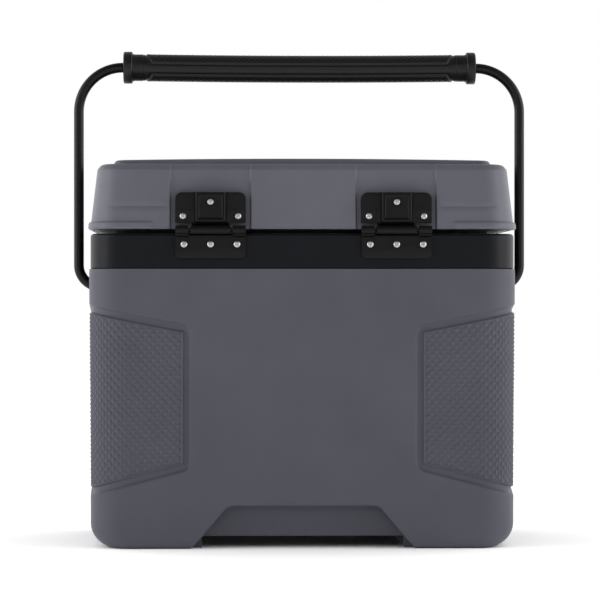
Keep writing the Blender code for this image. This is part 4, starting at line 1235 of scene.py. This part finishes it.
@dataclass
class Bail:
    """The bent tube with its moulded grip and end caps."""

    finishes: Finishes
    top_bend: float = 0.047
    bottom_bend: float = 0.023
    tilt: float = math.radians(9.0)
    sag: float = 0.0012

    def __post_init__(self) -> None:
        """Takes the size from the frame."""
        low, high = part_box("bail_tube")
        grip_low, grip_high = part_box("bail_grip")
        self.radius = (high.y - low.y) / 2
        self.half = high.x - self.radius
        self.base_z = low.z + self.radius
        self.top_z = (grip_low.z + grip_high.z) / 2
        self.grip_half = grip_high.x
        self.grip_radius = (grip_high.z - grip_low.z) / 2
        self.end_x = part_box("bail_cup_right")[0].x + 0.003

    def build_tube(self) -> bpy.types.Object:
        """Builds the tube by extruding and spinning a ring along its route.

        Returns:
            The tube.
        """
        bm = bmesh.new()
        turn = Matrix.Translation((self.end_x, 0, self.base_z)) @ Matrix.Rotation(math.pi / 2, 4, "Y")
        ring = bmesh.ops.create_circle(bm, cap_ends=False, segments=28, radius=self.radius, matrix=turn)
        edges = list({edge for vert in ring["verts"] for edge in vert.link_edges})

        def straight(run: Vector) -> None:
            """Extrudes the open end along a vector."""
            nonlocal edges
            made = bmesh.ops.extrude_edge_only(bm, edges=edges)["geom"]
            verts = [item for item in made if isinstance(item, bmesh.types.BMVert)]
            bmesh.ops.translate(bm, verts=verts, vec=run)
            edges = [item for item in made if isinstance(item, bmesh.types.BMEdge) and item.is_boundary]

        def bend(centre: Vector, count: int) -> None:
            """Spins the open end a quarter turn about an axis along Y."""
            nonlocal edges
            made = bmesh.ops.spin(
                bm, geom=edges, cent=centre, axis=(0, 1, 0), angle=-math.pi / 2, steps=count
            )
            edges = [item for item in made["geom_last"] if isinstance(item, bmesh.types.BMEdge)]

        low_x, high_x = self.half - self.bottom_bend, self.half - self.top_bend
        low_z, high_z = self.base_z + self.bottom_bend, self.top_z - self.top_bend
        leg = self.top_z - self.top_bend - self.base_z - self.bottom_bend
        foot = Vector((low_x - self.end_x, 0, 0))
        straight(foot)
        bend(Vector((low_x, 0, low_z)), 14)
        straight(Vector((0, 0, leg)))
        bend(Vector((high_x, 0, high_z)), 22)
        straight(Vector((-2 * high_x, 0, 0)))
        bend(Vector((-high_x, 0, high_z)), 22)
        straight(Vector((0, 0, -leg)))
        bend(Vector((-low_x, 0, low_z)), 14)
        straight(foot)
        bmesh.ops.holes_fill(bm, edges=open_edges(bm), sides=0)
        bmesh.ops.remove_doubles(bm, verts=bm.verts, dist=1e-6)
        bmesh.ops.recalc_face_normals(bm, faces=bm.faces)
        return show(to_object("bail_bar", bm, self.finishes.tube), Body.BAIL, "tube", "bail_tube")

    def pad(self, x: float, angle: float) -> float:
        """Returns the grip's radius at a place along it and round it.

        Args:
            x: Distance along the bar.
            angle: Turn round the bar from straight up, in the grip's own tilt.

        Returns:
            The radius there.
        """
        base, full = self.grip_radius - 0.0006, self.grip_radius
        from_top = min(abs(math.remainder(angle - turn, 2 * math.pi)) for turn in (0.0, math.pi))
        half_angle = math.radians(62)
        across = (half_angle - from_top) * full
        slant = 0.006 * (from_top / half_angle)
        along = (self.grip_half - 0.0035) - slant - abs(x)
        inside = min(across, along)
        if inside < 0:
            trench = 0.0011 * math.sin(math.pi * min(-inside / 0.0030, 1.0)) if inside > -0.0030 else 0.0
            return base - trench
        rim = smooth_step(inside / 0.0009)
        pitch = 0.0030
        u, v = (x + from_top * full) / pitch, (x - from_top * full) / pitch
        knurl = 0.5 + 0.25 * (math.cos(math.pi * u) + math.cos(math.pi * v))
        fade = smooth_step((inside - 0.0018) / 0.001)
        return base + (full - base) * rim - 0.00075 * fade * (1 - knurl)

    def build_grip(self) -> bpy.types.Object:
        """Builds the grip with its two knurled pads and the smooth band between them.

        Returns:
            The grip.
        """
        around, along, end_rows = 112, 300, 2

        def place(column: int, row: int) -> tuple[float, float, float]:
            """Gives one vertex of the grip; the two rows at each end turn in to the tube."""
            row -= end_rows
            angle = 2 * math.pi * column / around
            x = self.grip_half * (2 * min(max(row, 0), along) / along - 1)
            radius = self.pad(x, angle)
            if row < 0 or row > along:
                radius = radius - 0.0006 if row in (-1, along + 1) else self.radius + 0.0003
            lean = angle + self.tilt
            sag = self.sag * (1 - (x / self.grip_half) ** 2)
            return x, radius * math.sin(lean), self.top_z - sag + radius * math.cos(lean)

        bm = grid_mesh(around, along + 2 * end_rows, place)
        bmesh.ops.remove_doubles(bm, verts=bm.verts, dist=1e-6)
        bmesh.ops.bridge_loops(bm, edges=open_edges(bm))
        bmesh.ops.recalc_face_normals(bm, faces=bm.faces)
        grip = to_object("bail_grip_sleeve", bm, self.finishes.grip, 60.0)
        return show(grip, Body.BAIL, "grip", "bail_grip")

    def build_cap(self, name: str, side: int) -> bpy.types.Object:
        """Builds one flanged cap.

        Args:
            name: left or right.
            side: The sign of X.

        Returns:
            The cap.
        """
        low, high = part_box(f"grip_end_cap_{name}")
        start, end = sorted((abs(low.x), abs(high.x)))
        flange = (high.z - low.z) / 2
        neck = self.grip_radius - 0.0004
        bore = self.radius + 0.0002
        profile = [(bore, start), (neck - 0.0003, start), (neck, start + 0.0003), (neck, end - 0.0118)]
        profile += [(neck + 0.0006, end - 0.0106), (flange - 0.0022, end - 0.0100)]
        profile += [(flange - 0.0006, end - 0.0096), (flange, end - 0.0088), (flange, end - 0.0016)]
        profile += [(flange - 0.0005, end - 0.0006), (flange - 0.0018, end)]
        profile += [(bore + 0.002, end), (bore, end - 0.001), (bore, start)]
        centre = Vector((0, 0, self.top_z))
        bm = turned_mesh(profile, centre, Vector((side, 0, 0)), 64)
        cap = to_object(f"grip_flange_{name}", bm, self.finishes.grip)
        return show(cap, Body.BAIL, "hardware", f"grip_end_cap_{name}")

    def build(self) -> None:
        """Builds the tube, the grip and the caps."""
        self.build_tube()
        self.build_grip()
        for name, side in SIDES:
            self.build_cap(name, side)


# Plain fittings that keep the frame's shape


@dataclass
class Fittings:
    """Small moulded parts: the frame's shape with rounded edges."""

    finishes: Finishes

    def rounded(
        self, node: str, name: str, body: Body, width: float, slot: str = "hardware"
    ) -> bpy.types.Object:
        """Copies a CAD node, merges it and rounds its edges.

        Args:
            node: The CAD node.
            name: Name of the new piece.
            body: The body that it rides on.
            width: Width of the rounding.
            slot: Which finish it takes, hardware or strap.

        Returns:
            The piece.
        """
        bm = bmesh.new()
        bm.from_mesh(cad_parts[node].data)
        bmesh.ops.remove_doubles(bm, verts=bm.verts, dist=1e-5)
        bmesh.ops.dissolve_limit(bm, angle_limit=math.radians(1.0), verts=bm.verts, edges=bm.edges)
        finish = self.finishes.strap if slot == "strap" else self.finishes.nylon
        piece = to_object(name, bm, finish, 40.0)
        rounding = piece.modifiers.new("rounding", "BEVEL")
        rounding.width = width
        rounding.segments = 3
        rounding.limit_method = "ANGLE"
        rounding.angle_limit = math.radians(40)
        baked(piece, 30.0)
        return show(piece, body, slot, node)

    def build(self) -> None:
        """Builds every fitting."""
        finishes = self.finishes
        for name, body in (("left", Body.LATCH_LEFT), ("right", Body.LATCH_RIGHT)):
            self.rounded(f"latch_strap_{name}", f"rubber_strap_{name}", body, 0.0008, "strap")
            self.rounded(f"latch_bracket_{name}", f"strap_bracket_{name}", Body.LID, 0.0005)
            self.rounded(f"latch_keeper_{name}", f"strap_keeper_{name}", Body.TUB, 0.0005)
        for name, _ in SIDES:
            self.rounded(f"bail_cup_{name}", f"bail_socket_{name}", Body.TUB, 0.0004)
        self.rounded("drain_plug", "drain_stopper", Body.DRAIN, 0.0004)
        self.rounded("drain_spout", "drain_tube", Body.TUB, 0.0003)
        plain = (
            (finishes.liner, "body_liner", "lid_liner", "drain_nut", "bail_bush_left", "bail_bush_right"),
            (finishes.foam, "body_insulation", "lid_insulation"),
            (finishes.seal, "lid_gasket", "drain_plug_seal"),
            (finishes.pin, "hinge_pin_left", "hinge_pin_right"),
            (finishes.steel, "latch_pin_left", "latch_pin_right"),
        )
        for finish, *nodes in plain:
            for node in nodes:
                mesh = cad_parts[node].data
                mesh.materials.clear()
                mesh.materials.append(finish)


# The studio


@dataclass
class Studio:
    """A pale floor, soft lights and the camera behind the cooler."""

    distance: float = 3.0
    side_step: float = 0.0911
    aim_x: float = -0.0005
    height: float = 0.2544
    lens: float = 176.4
    dim: float = 0.10
    side_glow: float = 1.7
    top_dim: float = 0.3

    def soft_light(
        self, name: str, spot: Sequence[float], size: tuple[float, float], power: float, aim: Vector
    ) -> None:
        """Adds an area light.

        Args:
            name: Name of the light.
            spot: Where it stands.
            size: Width and height of its panel.
            power: Power in watts.
            aim: The point that it faces.
        """
        data = bpy.data.lights.new(name, "AREA")
        data.shape = "RECTANGLE"
        data.size, data.size_y = size
        data.energy = power
        lamp = linked(name, data)
        lamp.location = spot
        lamp.rotation_euler = (aim - Vector(spot)).to_track_quat("-Z", "Y").to_euler()

    def build_floor(self) -> None:
        """Adds the pale floor and the overhead panel that lights only the floor."""
        bm = bmesh.new()
        bmesh.ops.create_grid(bm, x_segments=2, y_segments=2, size=6.0)
        made, _, _, shader = new_material("pale_floor")
        shader.inputs["Base Color"].default_value = (1.0, 1.0, 1.0, 1.0)
        shader.inputs["Roughness"].default_value = 0.9
        shader.inputs["Specular IOR Level"].default_value = 0.1
        floor = to_object("floor", bm, made)
        dome = bmesh.new()
        bmesh.ops.create_icosphere(dome, subdivisions=4, radius=30.0)
        bmesh.ops.reverse_faces(dome, faces=dome.faces)
        made, nodes, links, _ = new_material("white_backdrop")
        glow = nodes.new("ShaderNodeEmission")
        links.new(glow.outputs["Emission"], nodes["Material Output"].inputs["Surface"])
        backdrop = to_object("backdrop", dome, made)
        backdrop.visible_diffuse = backdrop.visible_glossy = backdrop.visible_transmission = False
        backdrop.visible_shadow = False
        self.soft_light("overhead", (0, 0, 3.0), (16.0, 16.0), 480.0, Vector())
        only_floor = bpy.data.collections.new("only_floor")
        only_floor.objects.link(floor)
        bpy.data.objects["overhead"].light_linking.receiver_collection = only_floor

    def build_camera(self) -> None:
        """Adds the camera, level with the middle of the cooler and a little to one side."""
        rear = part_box("body_shell")[1].y
        data = bpy.data.cameras.new("camera")
        data.lens = self.lens
        data.sensor_width = 36.0
        camera = linked("camera", data)
        camera.location = (self.side_step, rear + self.distance, self.height)
        aim = Vector((self.aim_x, 0, self.height)) - camera.location
        camera.rotation_euler = aim.to_track_quat("-Z", "Y").to_euler()
        bpy.context.scene.camera = camera

    def build_world(self) -> None:
        """Lights everything from all round: most from the two sides and least from behind the camera."""
        world = bpy.data.worlds.new("studio")
        world.use_nodes = True
        nodes, links = world.node_tree.nodes, world.node_tree.links
        background = nodes["Background"]
        background.inputs["Color"].default_value = (1.0, 1.0, 1.0, 1.0)
        place = nodes.new("ShaderNodeTexCoord")
        parts = nodes.new("ShaderNodeSeparateXYZ")
        links.new(place.outputs["Generated"], parts.inputs["Vector"])

        def ramp(axis: str, start: float, end: float, low: float, high: float) -> bpy.types.NodeSocket:
            """Maps a direction's part from start..end to low..high."""
            node = nodes.new("ShaderNodeMapRange")
            for name, value in zip(("From Min", "From Max", "To Min", "To Max"), (start, end, low, high)):
                node.inputs[name].default_value = value
            links.new(parts.outputs[axis], node.inputs["Value"])
            return node.outputs["Result"]

        def sum_of(operation: str, *terms) -> bpy.types.NodeSocket:
            """Applies an operation to sockets and numbers."""
            node = nodes.new("ShaderNodeMath")
            node.operation = operation
            for entry, term in zip(node.inputs, terms):
                if isinstance(term, float):
                    entry.default_value = term
                else:
                    links.new(term, entry)
            return node.outputs["Value"]

        side = sum_of("POWER", sum_of("ABSOLUTE", parts.outputs["X"]), 2.0)
        total = sum_of("MULTIPLY_ADD", side, self.side_glow, ramp("Y", -0.2, 0.75, 1.0, self.dim))
        strength = sum_of("MULTIPLY", total, ramp("Z", 0.25, 1.0, 1.0, self.top_dim))
        links.new(strength, background.inputs["Strength"])
        bpy.context.scene.world = world
        bpy.context.scene.view_settings.view_transform = "Standard"

    def build(self) -> None:
        """Builds the studio."""
        self.build_floor()
        self.build_camera()
        self.build_world()
        middle = Vector((0, 0, 0.25))
        self.soft_light("key", (0.1, 3.1, 1.15), (2.6, 0.35), 9.0, middle)
        self.soft_light("strip_left", (1.6, 0.5, 0.5), (0.4, 1.6), 6.0, middle)
        self.soft_light("strip_right", (-1.6, 0.5, 0.5), (0.4, 1.6), 6.0, middle)


def main() -> None:
    """Builds the studio and every piece."""
    logging.basicConfig(level=logging.INFO, format="%(name)s: %(message)s")
    Studio().build()
    finishes = Finishes()
    Tub(finishes).build()
    Collar(finishes).build()
    Lid(finishes).build()
    Screws(finishes).build()
    for side_name, _ in SIDES:
        Hinge(finishes, side_name).build()
    Bail(finishes).build()
    Fittings(finishes).build()


if __name__ == "__main__":
    main()
